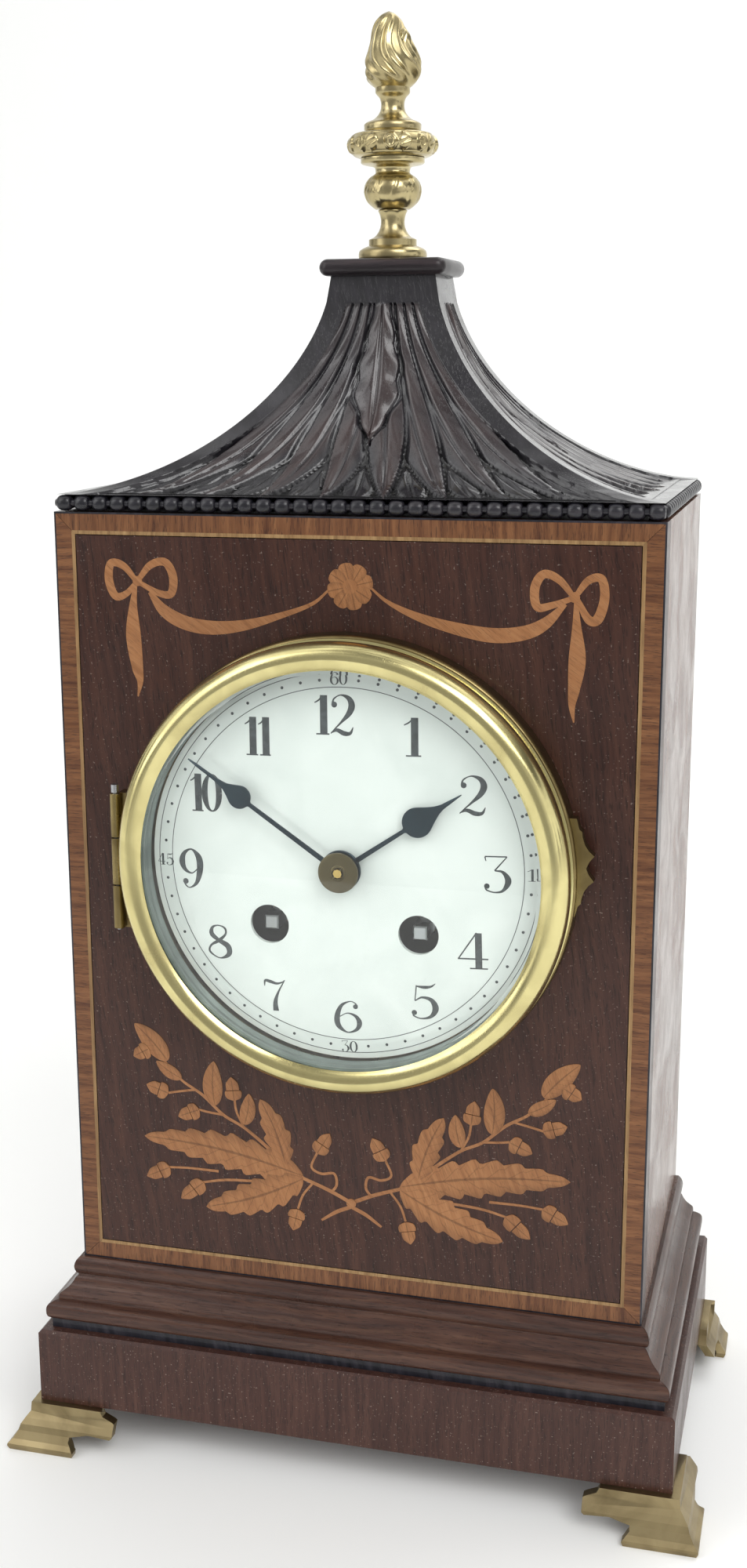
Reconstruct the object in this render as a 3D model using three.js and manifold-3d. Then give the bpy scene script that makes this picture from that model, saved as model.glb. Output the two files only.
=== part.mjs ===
// A bracket clock with a pagoda roof, a round brass-cased dial and a pendulum movement.
// Millimetres, +Z up. The dial faces -Y. The origin lies on the floor under the middle of
// the clock's outline. Pieces are made in case coordinates, in which Y = 0 is the front of
// the case and Z = 0 is the floor; one group at the end shifts them to the origin.

import * as THREE from 'three';
import { mergeVertices } from 'three/addons/utils/BufferGeometryUtils.js';
import Module from 'manifold-3d';

const wasm = await Module();
wasm.setup();

// ---------- sizes: shared ----------
const fitGap = 0.3;            // air between round or slanted pieces that seat on each other
const ringSegments = 30;       // facets of a large turned ring
const smallSegments = 14;      // facets of a small turned piece
const arborSegments = 8;       // facets of an arbor
const arborRadius = 0.7;       // thin arbors of the wheel train
const pivotClearance = 0.3;    // round an arbor in its hole

// ---------- sizes: case ----------
const caseWidth = 150;
const caseDepth = 90;
const caseHeight = 200;
const boardThickness = 8;
const veneerDepth = 0.8;
const crossbandWidth = 5.4;
const dialHeight = 115.5;      // middle of the dial above the bottom of the case

// ---------- sizes: base ----------
const footHeight = 12;
const footFlare = 7.3;         // how far the toe stands out from the plinth
const footLip = 2;             // how far the top of the foot stands out from the plinth
const footWall = 2.6;
const footWingLength = 22;     // along the plinth, to the tip of the ear
const footSoleLength = 11;     // along the plinth, under the corner
const footEarDepth = 6.4;      // height of the wing at its ear
const plinthHeight = 20.6;
const plinthProud = 10;        // how far the plinth stands out from the case
const plinthBevel = 0.8;
const filletHeight = 2.6;
const filletProud = 7;
const baseBoardHeight = 15.8;  // also the height of the base moulding
const mouldingProud = 8.3;

// ---------- sizes: roof ----------
const beadCourseHeight = 4.2;
const beadPitch = 4.63;
const beadRadius = 1.95;
const beadNeckRadius = 1.15;
const beadSides = 6;
const beadProud = 0.4;         // beads beyond the front of the case

const roofInset = 0.6;         // edge of the roof behind the face of the case
const roofHeight = 52.1;       // from the beads to the underside of the cap
const roofNeckWidth = 26.6;
const roofNeckDepth = 20.6;
const roofSweep = 0.63;        // exponent of the concave hip curve
const roofFriezeHeight = 6.5;  // plain band under the cap
const roofBorderShare = 0.13;  // plain border beside each hip, as a share of the face
const roofCarvingDepth = 0.9;
const frontLeaves = 5;         // tall leaves on the front and back faces
const sideLeaves = 3;          // tall leaves on the side faces
const roofRows = 9;
const capOverhang = 2.8;
const capHeight = 4.1;
const capEdgeRadius = 1.9;

// ---------- sizes: finial ----------
const finialRodRadius = 1.2;
const finialFootRadius = 8.6;
const finialFootHeight = 12.2;
const knopRadius = 7.1;
const knopHeight = 12.2;
const wreathRadius = 11.3;
const wreathHeight = 6.2;
const stemHeight = 10.2;
const flameRadius = 7;
const flameHeight = 18.3;
const flameLobes = 5;

// ---------- sizes: dial, bezel and glass ----------
const dialRadius = 49.5;
const dialThickness = 1.2;
const dialEdgeFront = -3.8;    // Y of the front of the dial at its edge
const dialCrown = 2.2;         // how far the middle of the dial stands out from its edge
const dialCentreHole = 3.9;
const windingHoleRadius = 5;
const ringBand = 7.7;          // the ring outside the dial
const ringDepth = 5.9;
const ringSeat = 3.7;          // the ledge that the edge of the dial rests on
const ringTubeWall = 1.5;
const tubeClearance = 1.7;     // between the tube and the hole in the case
const ringTubeDepth = 6;
const ringSeatDepth = 1;
const lugHeight = 24;
const lugReach = 3.8;
const lugRise = 3.6;           // middle of the lug above the middle of the dial
const lugThickness = 3;
const bezelInset = 0.7;        // edge of the bezel inside the edge of the ring
const bezelDepth = 8;
const bezelLipThickness = 0.9;
const glassRebate = 2.1;       // how far the bezel holds the glass
const glassThickness = 1.6;
const glassBevelWidth = 3;
const sightRingWidth = 2;
const hingeRadius = 1.4;
const hingePinRadius = 0.6;
const hingeClearance = 0.2;    // between the hinge and the edge of the ring
const hingeHeight = 35;
const hingeMiddleHeight = 12;
const hingeDrop = 2;           // middle of the hinge below the middle of the dial
const hingePinHead = 2;

// ---------- sizes: hands ----------
const restMinutes = 50.75;     // minutes past one o'clock
const minuteHandShare = 0.93;  // length of the hand as a share of the dial's radius
const hourHandShare = 0.727;
const bulbShare = 0.64;        // place of the bulb as a share of the hand's length
const handThickness = 0.6;
const handStem = 1;            // width of a hand's stem
const handBossWidth = 1.4;     // of metal round the pipe that carries the hand
const minuteBulbRadius = 2.9;
const hourBulbRadius = 3.7;
const hourHandY = -7.8;        // front of the hour hand
const minuteHandY = -9.4;      // front of the minute hand
const colletRadius = 5;
const colletThickness = 0.9;

// ---------- sizes: movement ----------
const plateThickness = 1.8;
const frontPlateY = 3;
const backPlateY = 36;
const pillarRadius = 2;
const pillarInset = 4;         // middle of a pillar from the edge of the plates
const leverGap = 1.7;          // between the back plate and the crutch and hammer arm
const leverThickness = 1.5;
const windingArborX = 18.9;
const windingArborZ = -15.6;
const windingArborRadius = 2.4;
const windingSquare = 3.5;
const windingSquareFront = -1;
const barrelRadius = 15.2;
const barrelFront = 10;
const barrelBack = 28.6;
const wheelThickness = 1;
const pinionOverrun = 0.5;     // how far a pinion runs past the wheel it meshes with
const cannonRadius = 2.2;
const hourPipeRadius = 3.3;
const centreArborRadius = 1.1;
const pendulumLength = 118.7;
const pendulumY = 44;
const pendulumRodRadius = 0.8;
const bobRadius = 13;
const bobThickness = 7;
const pendulumTop = 2.6;       // suspension spring above the swing axis
const palletAxisGap = 11;      // pallet axis above the escape wheel
const bellRadius = 30;
const bellFrontY = 50;
const bellDepth = 18;
const bellWall = 1.5;
const bellPostX = 24.4;
const hammerPivotX = 38;
const hammerPivotZ = 8;
const hammerHeadRadius = 2.2;
const hammerHeadGap = 0.8;     // head off the bell at rest
const strapWidth = 8;
const strapThickness = 1;

// ---------- sizes: rear door ----------
const backRingBand = 6.5;      // the ring outside the hole in the case, and inside it
const backRingThickness = 2.4;
const doorInset = 4;           // edge of the door inside the edge of the ring
const doorRim = 9;             // flat rim round the dished middle of the door
const doorWall = 1.2;
const doorDish = 2.6;
const doorKnobLength = 3.2;
const doorHingeRadius = 1.8;
const doorHingePinRadius = 0.8;
const doorHingeHeight = 24;
const doorHingeMiddle = 8;

// ---------- places worked out from the sizes ----------
const halfWidth = caseWidth / 2;
const plinthTop = footHeight + plinthHeight;
const filletTop = plinthTop + filletHeight;
const caseBottom = filletTop + baseBoardHeight;
const caseTop = caseBottom + caseHeight;
const dialZ = caseBottom + dialHeight;
const beadTop = caseTop + beadCourseHeight;
const capBottom = beadTop + roofHeight;
const capTop = capBottom + capHeight;
const ringOuterRadius = dialRadius + ringBand;
const ringTubeRadius = dialRadius - ringSeat;
const caseHoleRadius = ringTubeRadius + tubeClearance;
const plateRadius = ringTubeRadius - ringTubeWall - fitGap;
const bezelLipRadius = ringOuterRadius - bezelInset;
const bezelOpening = dialRadius + fitGap;
const glassRadius = bezelOpening + glassRebate;
const hingeReach = ringOuterRadius + hingeClearance + hingeRadius;
const minuteHandLength = dialRadius * minuteHandShare;
const hourHandLength = dialRadius * hourHandShare;
const backRingRadius = caseHoleRadius + backRingBand;
const backRingOpening = caseHoleRadius - backRingBand;
const doorRadius = backRingRadius - doorInset;
const doorHingeReach = backRingRadius + doorHingeRadius;
const frontReach = plinthProud + footFlare;
const doorFaceY = caseDepth + backRingThickness + fitGap;
const doorBackY = doorFaceY + doorWall + doorDish;
const backReachY = doorBackY + doorKnobLength;
const middleY = (backReachY - frontReach) / 2;

// ---------- helpers: solids and booleans ----------

// Merge the corners of a closed geometry, and turn it right side out if it isn't.
function closedGeometry(geometry) {
  const plain = geometry.index ? geometry.toNonIndexed() : geometry.clone();
  plain.deleteAttribute('normal');
  plain.deleteAttribute('uv');
  const merged = mergeVertices(plain, 1e-4);
  const place = merged.attributes.position.array;
  const corners = [];
  const faces = merged.index.array;
  for (let i = 0; i < faces.length; i += 3) {
    const [a, b, c] = [faces[i], faces[i + 1], faces[i + 2]];
    if (a !== b && b !== c && c !== a) corners.push(a, b, c);
  }
  if (signedVolume(place, corners) < 0) {
    for (let i = 0; i < corners.length; i += 3) {
      [corners[i], corners[i + 1]] = [corners[i + 1], corners[i]];
    }
  }
  merged.setIndex(corners);
  return merged;
}

function signedVolume(place, corners) {
  const points = [new THREE.Vector3(), new THREE.Vector3(), new THREE.Vector3()];
  let volume = 0;
  for (let i = 0; i < corners.length; i += 3) {
    points.forEach((point, k) => point.fromArray(place, corners[i + k] * 3));
    volume += points[0].dot(points[1].clone().cross(points[2])) / 6;
  }
  return volume;
}

function solidOf(geometry) {
  const closed = closedGeometry(geometry);
  return new wasm.Manifold(new wasm.Mesh({
    numProp: 3,
    vertProperties: new Float32Array(closed.attributes.position.array),
    triVerts: new Uint32Array(closed.index.array),
  }));
}

function geometryOf(solid) {
  const mesh = solid.getMesh();
  const geometry = new THREE.BufferGeometry();
  geometry.setAttribute('position', new THREE.BufferAttribute(mesh.vertProperties, 3));
  geometry.setIndex(new THREE.BufferAttribute(mesh.triVerts, 1));
  return geometry;
}

function joined(...geometries) {
  const solids = geometries.map(solidOf);
  return geometryOf(solids.slice(1).reduce((whole, piece) => whole.add(piece), solids[0]));
}

function cut(geometry, ...cutters) {
  let solid = solidOf(geometry);
  for (const cutter of cutters) solid = solid.subtract(solidOf(cutter));
  return geometryOf(solid);
}

function box(x0, x1, y0, y1, z0, z1) {
  const block = new THREE.BoxGeometry(x1 - x0, y1 - y0, z1 - z0);
  return block.translate((x0 + x1) / 2, (y0 + y1) / 2, (z0 + z1) / 2);
}

// A round bar along Y, X or Z between two planes.
function barY(radius, y0, y1, x = 0, z = 0, segments = arborSegments) {
  const bar = new THREE.CylinderGeometry(radius, radius, y1 - y0, segments);
  return bar.translate(x, (y0 + y1) / 2, z);
}

function barZ(radius, z0, z1, x = 0, y = 0, segments = arborSegments) {
  const bar = new THREE.CylinderGeometry(radius, radius, z1 - z0, segments);
  return bar.rotateX(Math.PI / 2).translate(x, y, (z0 + z1) / 2);
}

// Turn a closed list of [radius, height] corners round Y; on the axis it needs no closing.
function turnedY(profile, segments) {
  const corners = profile.map(([radius, height]) => new THREE.Vector2(radius, height));
  const open = profile[0][0] === 0 && profile[profile.length - 1][0] === 0;
  if (!open) corners.push(corners[0].clone());
  return closedGeometry(new THREE.LatheGeometry(corners, segments));
}

function turnedZ(profile, segments) {
  return turnedY(profile, segments).rotateX(Math.PI / 2);
}

// Extrude a shape drawn in X and Z between two Y planes.
function plateY(shape, y0, y1, curveSegments = 8) {
  const settings = { depth: y1 - y0, bevelEnabled: false, curveSegments };
  return new THREE.ExtrudeGeometry(shape, settings).rotateX(Math.PI / 2).translate(0, y1, 0);
}

function outline(corners) {
  return new THREE.Shape(corners.map(([x, z]) => new THREE.Vector2(x, z)));
}

function circleHole(shape, x, z, radius, segments) {
  const hole = new THREE.Path();
  hole.setFromPoints(arcPoints(x, z, radius, 2 * Math.PI, 0, segments).slice(0, -1));
  shape.holes.push(hole);
}

function arcPoints(x, z, radius, from, to, steps) {
  const points = [];
  for (let i = 0; i <= steps; i += 1) {
    const turn = from + ((to - from) * i) / steps;
    points.push(new THREE.Vector2(x + radius * Math.cos(turn), z + radius * Math.sin(turn)));
  }
  return points;
}

// Closed skin over rings that all have the same number of corners, with flat end caps.
function loft(rings) {
  const count = rings[0].length;
  const corners = [];
  const quad = (a, b, c, d) => corners.push(a, b, c, a, c, d);
  for (let i = 0; i + 1 < rings.length; i += 1) {
    for (let k = 0; k < count; k += 1) {
      const next = (k + 1) % count;
      quad(rings[i][k], rings[i][next], rings[i + 1][next], rings[i + 1][k]);
    }
  }
  for (const [ring, flip] of [[rings[0], true], [rings[rings.length - 1], false]]) {
    const middle = ring.reduce((sum, p) => sum.add(p), new THREE.Vector3()).divideScalar(count);
    for (let k = 0; k < count; k += 1) {
      const next = (k + 1) % count;
      corners.push(middle, flip ? ring[next] : ring[k], flip ? ring[k] : ring[next]);
    }
  }
  return closedGeometry(new THREE.BufferGeometry().setFromPoints(corners));
}

// ---------- helpers: the scene graph ----------
const assembly = new THREE.Group();
assembly.position.y = -middleY;

function finish(color, roughness, metalness, opacity = 1) {
  const look = { color, roughness, metalness, opacity, transparent: opacity < 1 };
  return new THREE.MeshStandardMaterial(look);
}

const mahogany = finish(0x55383a, 0.35, 0);
const sideVeneer = finish(0x6a4136, 0.3, 0);
const crossband = finish(0x8c5f41, 0.4, 0);
const plainWood = finish(0x8a6a4a, 0.7, 0);
const ebonised = finish(0x24242b, 0.45, 0);
const brass = finish(0xc9ae63, 0.2, 1);
const footBrass = finish(0x8d7a52, 0.35, 1);
const steel = finish(0x8d9196, 0.3, 1);
const bluedSteel = finish(0x2b3a40, 0.3, 0.8);
const silvered = finish(0xaab0ac, 0.35, 0.6);
const enamel = finish(0xf2f6f0, 0.15, 0);
const glassClear = finish(0xe8f2ee, 0.02, 0, 0.25);

function place(name, geometry, material, x = 0, y = 0, z = 0, parent = assembly) {
  const mesh = new THREE.Mesh(closedGeometry(geometry), material);
  mesh.name = name;
  mesh.position.set(x, y, z);
  parent.add(mesh);
  return mesh;
}

// Everything on the dial's axis lives in one group whose origin is the middle of the dial.
const dialGroup = new THREE.Group();
dialGroup.position.z = dialZ;
assembly.add(dialGroup);

function placeOnDial(name, geometry, material, x = 0, z = 0) {
  return place(name, geometry, material, x, 0, z, dialGroup);
}

// ---------- case ----------
function boardWithHole(halfX, y0, y1, z0, z1) {
  const board = outline([[-halfX, z0], [halfX, z0], [halfX, z1], [-halfX, z1]]);
  circleHole(board, 0, dialZ, caseHoleRadius, ringSegments);
  return plateY(board, y0, y1);
}

function makeCase() {
  const fieldX = halfWidth - crossbandWidth;
  const fieldBottom = caseBottom + crossbandWidth;
  const fieldTop = caseTop - crossbandWidth;
  const insideX = halfWidth - boardThickness;

  // The front board, with a rebate round its face for the crossbanding.
  const slab = boardWithHole(halfWidth, veneerDepth, boardThickness, caseBottom, caseTop);
  const field = boardWithHole(fieldX, 0, veneerDepth * 2, fieldBottom, fieldTop);
  place('front_panel', joined(slab, field), mahogany);

  const band = outline([[-halfWidth, caseBottom], [halfWidth, caseBottom],
    [halfWidth, caseTop], [-halfWidth, caseTop]]);
  const opening = new THREE.Path([[-fieldX, fieldBottom], [-fieldX, fieldTop],
    [fieldX, fieldTop], [fieldX, fieldBottom]].map(([x, z]) => new THREE.Vector2(x, z)));
  band.holes.push(opening);
  place('crossband_frame', plateY(band, 0, veneerDepth), crossband);

  for (const [name, side] of [['left', -1], ['right', 1]]) {
    const [a, b] = side < 0 ? [-halfWidth, -insideX] : [insideX, halfWidth];
    const panel = box(a, b, boardThickness, caseDepth, caseBottom, caseTop);
    place(`side_panel_${name}`, panel, sideVeneer);
  }
  const topBottom = caseTop - boardThickness;
  place('case_top', box(-insideX, insideX, boardThickness, caseDepth, topBottom, caseTop), plainWood);
  const backFront = caseDepth - boardThickness;
  place('back_panel', boardWithHole(insideX, backFront, caseDepth, caseBottom, topBottom), sideVeneer);
}

// ---------- base ----------

// A moulding run along X with a profile of [out, up] corners; each end is mitred or square.
function mouldingRun(profile, leftEnd, rightEnd) {
  const ringAt = (end) => profile.map(([out, up]) => new THREE.Vector3(end(out), -out, up));
  return loftFlat(ringAt(leftEnd), ringAt(rightEnd));
}

// A skin between two matching outlines, capped by triangulating the outline itself.
function loftFlat(first, last) {
  const count = first.length;
  const flat = first.map((p) => new THREE.Vector2(p.y, p.z));
  const faces = THREE.ShapeUtils.triangulateShape(flat, []);
  const corners = [];
  for (let k = 0; k < count; k += 1) {
    const next = (k + 1) % count;
    corners.push(first[k], first[next], last[next], first[k], last[next], last[k]);
  }
  const turning = THREE.ShapeUtils.area(flat) > 0;
  for (const [a, b, c] of faces) {
    corners.push(...(turning ? [first[c], first[b], first[a]] : [first[a], first[b], first[c]]));
    corners.push(...(turning ? [last[a], last[b], last[c]] : [last[c], last[b], last[a]]));
  }
  return closedGeometry(new THREE.BufferGeometry().setFromPoints(corners));
}

// Three runs round the front and both sides. The side runs are the front's, turned.
function threeRuns(name, profile, material) {
  const mitre = fitGap / 4;
  const front = mouldingRun(profile, (out) => mitre - halfWidth - out, (out) => halfWidth + out - mitre);
  place(`${name}_front`, front, material);
  const right = mouldingRun(profile, (out) => mitre - out, () => caseDepth);
  right.rotateZ(Math.PI / 2);
  place(`${name}_right`, right, material, halfWidth, 0, 0);
  const left = mouldingRun(profile, () => -caseDepth, (out) => out - mitre);
  left.rotateZ(-Math.PI / 2);
  place(`${name}_left`, left, material, -halfWidth, 0, 0);
}

function makeBase() {
  const plinthX = halfWidth + plinthProud;
  const plinth = new THREE.Shape([
    [-plinthX, footHeight], [plinthX, footHeight], [plinthX, plinthTop - plinthBevel],
    [plinthX - plinthBevel, plinthTop], [plinthBevel - plinthX, plinthTop],
    [-plinthX, plinthTop - plinthBevel]].map(([x, z]) => new THREE.Vector2(x, z)));
  const block = plateY(plinth, -plinthProud, caseDepth);
  const bevel = plinthBevel * 2;
  const bevelCutter = box(-plinthX - 1, plinthX + 1, -bevel, bevel, -bevel, bevel);
  bevelCutter.rotateX(Math.PI / 4).translate(0, -plinthProud, plinthTop + bevel * Math.SQRT2 - plinthBevel);
  place('plinth', cut(block, bevelCutter), mahogany);

  const filletX = halfWidth + filletProud;
  place('ebony_fillet', box(-filletX, filletX, -filletProud, caseDepth, plinthTop, filletTop), ebonised);
  place('base_board', box(-halfWidth, halfWidth, 0, caseDepth, filletTop, caseBottom), plainWood);

  // Small bead, hollow, step and torus from the top down, as shares of the reach and the height.
  const steps = [
    [0, 0], [0.11, 0], [0.23, 0.08], [0.265, 0.17], [0.23, 0.265], [0.18, 0.305], [0.29, 0.36],
    [0.4, 0.455], [0.565, 0.54], [0.66, 0.61], [0.66, 0.685], [0.805, 0.72], [0.965, 0.79],
    [1, 0.88], [0.965, 0.95], [0.87, 1], [0, 1]];
  const profile = steps.map(([out, down]) => [out * mouldingProud, caseBottom - down * baseBoardHeight]);
  threeRuns('base_moulding', profile, mahogany);
}

// Ogee section of a foot as [out from the plinth, up from the floor], closed on its inner wall.
function footSection() {
  const top = footHeight;
  const outer = [
    [footLip, top], [footLip + 0.2, top * 0.79], [footLip + 1.4, top * 0.66],
    [footLip + 2.4, top * 0.54], [footLip + 2.9, top * 0.4], [footFlare - 1.2, top * 0.24],
    [footFlare - 0.1, top * 0.15], [footFlare, top * 0.1], [footFlare - 0.5, 0]];
  const inner = outer.map(([out, up]) => [out - footWall, up]).reverse();
  return [...outer, ...inner];
}

// The shape left between the ear and the toe of one wing, as [along, up] corners.
function footWingCutter() {
  const earBottom = footHeight - footEarDepth;
  const knee = footSoleLength - 1.2;
  return outline([
    [footSoleLength, -1], [footSoleLength + 0.6, footHeight * 0.12], [knee, footHeight * 0.3],
    [knee + 0.1, footHeight * 0.4], [footSoleLength + 0.8, earBottom - 0.4],
    [footSoleLength + 4, earBottom + 0.4], [footWingLength - 0.6, earBottom],
    [footWingLength, earBottom + 0.5], [footWingLength, footHeight - footEarDepth * 0.45],
    [footWingLength - 3.4, footHeight - 1.4], [footWingLength - 4.6, footHeight + 1],
    [footWingLength + 6, footHeight + 1], [footWingLength + 6, -1]]);
}

// One corner foot with its corner at the origin: a wing along +X and a wing along +Y.
function frontFoot() {
  const section = footSection();
  const along = mouldingRun(section, (out) => -out, () => footWingLength + 1);
  const cutter = plateY(footWingCutter(), -footFlare - 1, footWall * 2);
  const frontWing = cut(along, cutter);
  const sideWing = geometryOf(solidOf(frontWing));
  sideWing.applyMatrix4(swapXY());
  return joined(frontWing, sideWing);
}

function swapXY() {
  return new THREE.Matrix4().set(0, 1, 0, 0, 1, 0, 0, 0, 0, 0, 1, 0, 0, 0, 0, 1);
}

// A back foot has the same side wing, cut square at the back, and a plain wing across the back.
function backFoot() {
  const section = footSection();
  const along = mouldingRun(section, () => 0, () => footWingLength + 1);
  const wing = cut(along, plateY(footWingCutter(), -footFlare - 1, footWall * 2));
  const plainWing = plateY(outline([[-footLip - 1, 0], [-footLip - 1, footHeight],
    [footWingLength - 6, footHeight], [footWingLength - 6, footHeight - footEarDepth],
    [footSoleLength, footHeight - footEarDepth], [footSoleLength, 0]]), 0, footWall);
  const side = geometryOf(solidOf(wing)).applyMatrix4(swapXY());
  return joined(side, plainWing);
}

function makeFeet() {
  const cornerX = halfWidth + plinthProud;
  const mirrorX = new THREE.Matrix4().makeScale(-1, 1, 1);
  const mirrorY = new THREE.Matrix4().makeScale(1, -1, 1);
  const fronts = frontFoot();
  const backs = backFoot().applyMatrix4(mirrorY);
  place('foot_front_left', fronts, footBrass, -cornerX, -plinthProud, 0);
  place('foot_front_right', fronts.clone().applyMatrix4(mirrorX), footBrass, cornerX, -plinthProud, 0);
  place('foot_back_left', backs, footBrass, -cornerX, caseDepth, 0);
  place('foot_back_right', backs.clone().applyMatrix4(mirrorX), footBrass, cornerX, caseDepth, 0);
}

// ---------- roof ----------

// A string of beads along X: a bar whose radius swells once for every bead.
function beadString(length) {
  const count = Math.round(length / beadPitch);
  const step = length / count;
  const profile = [[0, 0]];
  for (let i = 0; i < count; i += 1) {
    const start = i * step;
    profile.push([beadNeckRadius, start], [beadRadius, start + step / 2]);
  }
  profile.push([beadNeckRadius, length], [0, length]);
  return turnedY(profile, beadSides).rotateZ(-Math.PI / 2).translate(-length / 2, 0, 0);
}

function makeBeads() {
  const axisZ = caseTop + beadCourseHeight / 2;
  const axisY = beadRadius - beadProud;
  const frontLength = caseWidth + 2 * beadProud - 1;
  const sideFront = axisY + beadRadius + fitGap;
  const sideLength = caseDepth - sideFront;
  place('bead_strip_front', beadString(frontLength), ebonised, 0, axisY, axisZ);
  const sideX = halfWidth - axisY;
  const middle = sideFront + sideLength / 2;
  const right = beadString(sideLength).rotateZ(Math.PI / 2);
  place('bead_strip_right', right, ebonised, sideX, middle, axisZ);
  const left = beadString(sideLength).rotateZ(-Math.PI / 2);
  place('bead_strip_left', left, ebonised, -sideX, middle, axisZ);
}

// Columns of one roof face as [share across, share of the carving's depth]: a plain border at
// each hip, and between them the midribs of the leaves and the valleys on either side of them.
function faceColumns(leaves) {
  const columns = [[0, 0], [roofBorderShare, 0]];
  const step = (1 - 2 * roofBorderShare) / (2 * leaves);
  for (let k = 1; k < 2 * leaves; k += 1) {
    columns.push([roofBorderShare + k * step, k % 2 ? 0.25 : 1]);
  }
  columns.push([1 - roofBorderShare, 0]);
  return columns;
}

// The hip runs on a superellipse: share in and share up, each to the power roofSweep, sum to one.
function hipShare(up) {
  return Math.pow(Math.max(0, 1 - Math.pow(up, roofSweep)), 1 / roofSweep);
}

function makeRoof() {
  const friezeShare = 1 - roofFriezeHeight / roofHeight;
  const edgeX = halfWidth - roofInset;
  const edgeY = caseDepth / 2 - roofInset;
  const rings = [];
  for (let row = 0; row <= roofRows; row += 1) {
    const last = row === roofRows;
    const up = last ? 1 : friezeShare * Math.pow(row / (roofRows - 1), 1.7);
    const share = hipShare(up);
    const halfX = roofNeckWidth / 2 + (edgeX - roofNeckWidth / 2) * share;
    const halfY = roofNeckDepth / 2 + (edgeY - roofNeckDepth / 2) * share;
    const z = beadTop + roofHeight * up;
    const carved = row > 0 && row < roofRows - 1;
    rings.push(roofRing(halfX, halfY, z, up, carved ? roofCarvingDepth : 0));
  }
  const shell = loft(rings);
  const coreX = edgeX - 2 * beadRadius - fitGap;
  const coreFront = 2 * beadRadius + fitGap;
  const core = box(-coreX, coreX, coreFront, caseDepth - roofInset, caseTop, beadTop + 0.5);
  shell.translate(0, caseDepth / 2, 0);
  place('roof', joined(shell, core), ebonised);

  const capX = roofNeckWidth / 2 + capOverhang;
  const capY = roofNeckDepth / 2 + capOverhang;
  const flat = new THREE.Shape();
  const cornerRadius = 1;
  const [ax, ay] = [capX - capEdgeRadius, capY - capEdgeRadius];
  flat.moveTo(cornerRadius - ax, -ay);
  flat.lineTo(ax - cornerRadius, -ay).quadraticCurveTo(ax, -ay, ax, cornerRadius - ay);
  flat.lineTo(ax, ay - cornerRadius).quadraticCurveTo(ax, ay, ax - cornerRadius, ay);
  flat.lineTo(cornerRadius - ax, ay).quadraticCurveTo(-ax, ay, -ax, ay - cornerRadius);
  flat.lineTo(-ax, cornerRadius - ay).quadraticCurveTo(-ax, -ay, cornerRadius - ax, -ay);
  const slab = new THREE.ExtrudeGeometry(flat, {
    depth: capHeight - 2 * capEdgeRadius, bevelEnabled: true, bevelThickness: capEdgeRadius,
    bevelSize: capEdgeRadius, bevelSegments: 3, curveSegments: 2,
  }).translate(0, 0, capBottom + capEdgeRadius);
  const rodHole = barZ(finialRodRadius + fitGap, capBottom + 1, capTop + 1);
  const cap = cut(slab, rodHole).translate(0, caseDepth / 2, 0);
  place('roof_cap', cap, ebonised);
}

// One level of the roof, its four faces carved inwards near the top and downwards near the eaves.
function roofRing(halfX, halfY, z, up, carving) {
  const corners = [[-1, -1], [1, -1], [1, 1], [-1, 1]];
  const ring = [];
  corners.forEach(([sx, sy], face) => {
    const [ex, ey] = corners[(face + 1) % 4];
    const inward = [[0, 1], [-1, 0], [0, -1], [1, 0]][face];
    for (const [across, share] of faceColumns(face % 2 ? sideLeaves : frontLeaves)) {
      const depth = carving * share;
      const x = halfX * (sx + (ex - sx) * across) + inward[0] * depth * up;
      const y = halfY * (sy + (ey - sy) * across) + inward[1] * depth * up;
      ring.push(new THREE.Vector3(x, y, z - depth * (1 - up)));
    }
  });
  return ring;
}

// ---------- finial ----------
function makeFinial() {
  const bore = finialRodRadius + fitGap;
  const y = caseDepth / 2;
  const footR = finialFootRadius;
  const footProfile = [
    [bore, 0], [footR, 0], [footR, 1.7], [footR * 0.67, 3.9], [footR * 0.67, 5.1],
    [footR * 0.4, 7], [footR * 0.34, 8.9], [footR * 0.44, finialFootHeight], [bore, finialFootHeight]];
  place('finial_foot', turnedZ(footProfile, smallSegments), brass, 0, y, capTop);

  const knopZ = capTop + finialFootHeight;
  const knopProfile = [
    [bore, 0], [knopRadius * 0.6, 0], [knopRadius * 0.95, 1.7], [knopRadius, 4],
    [knopRadius * 0.7, 8.4], [knopRadius * 0.68, 9.6],
    [knopRadius * 1.12, 10.8], [knopRadius * 1.12, knopHeight], [bore, knopHeight]];
  place('finial_knop', turnedZ(knopProfile, smallSegments), brass, 0, y, knopZ);

  const wreathZ = knopZ + knopHeight;
  const h = wreathHeight / 2;
  const wreathProfile = [
    [bore, 0], [wreathRadius * 0.78, 0], [wreathRadius * 0.93, h * 0.4], [wreathRadius, h],
    [wreathRadius * 0.93, h * 1.6], [wreathRadius * 0.72, wreathHeight], [bore, wreathHeight]];
  place('finial_wreath', turnedZ(wreathProfile, smallSegments), brass, 0, y, wreathZ);

  const stemZ = wreathZ + wreathHeight;
  const stemProfile = [
    [bore, 0], [flameRadius * 1.03, 0], [flameRadius * 1.03, 1.6], [flameRadius * 0.48, 3.6],
    [flameRadius * 0.41, 6.2], [flameRadius * 0.6, 8.8], [flameRadius * 0.6, stemHeight], [bore, stemHeight]];
  const stem = turnedZ(stemProfile, smallSegments);
  const flame = cut(flameBody(), barZ(bore, -1, flameHeight * 0.3));
  place('finial_flame', joined(stem, flame.translate(0, 0, stemHeight - 0.4)), brass, 0, y, stemZ);

  const rodTop = stemZ + stemHeight + flameHeight * 0.3 - 1.5;
  place('finial_rod', barZ(finialRodRadius, capBottom + 1 + fitGap, rodTop), steel, 0, y, 0);
}

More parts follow.
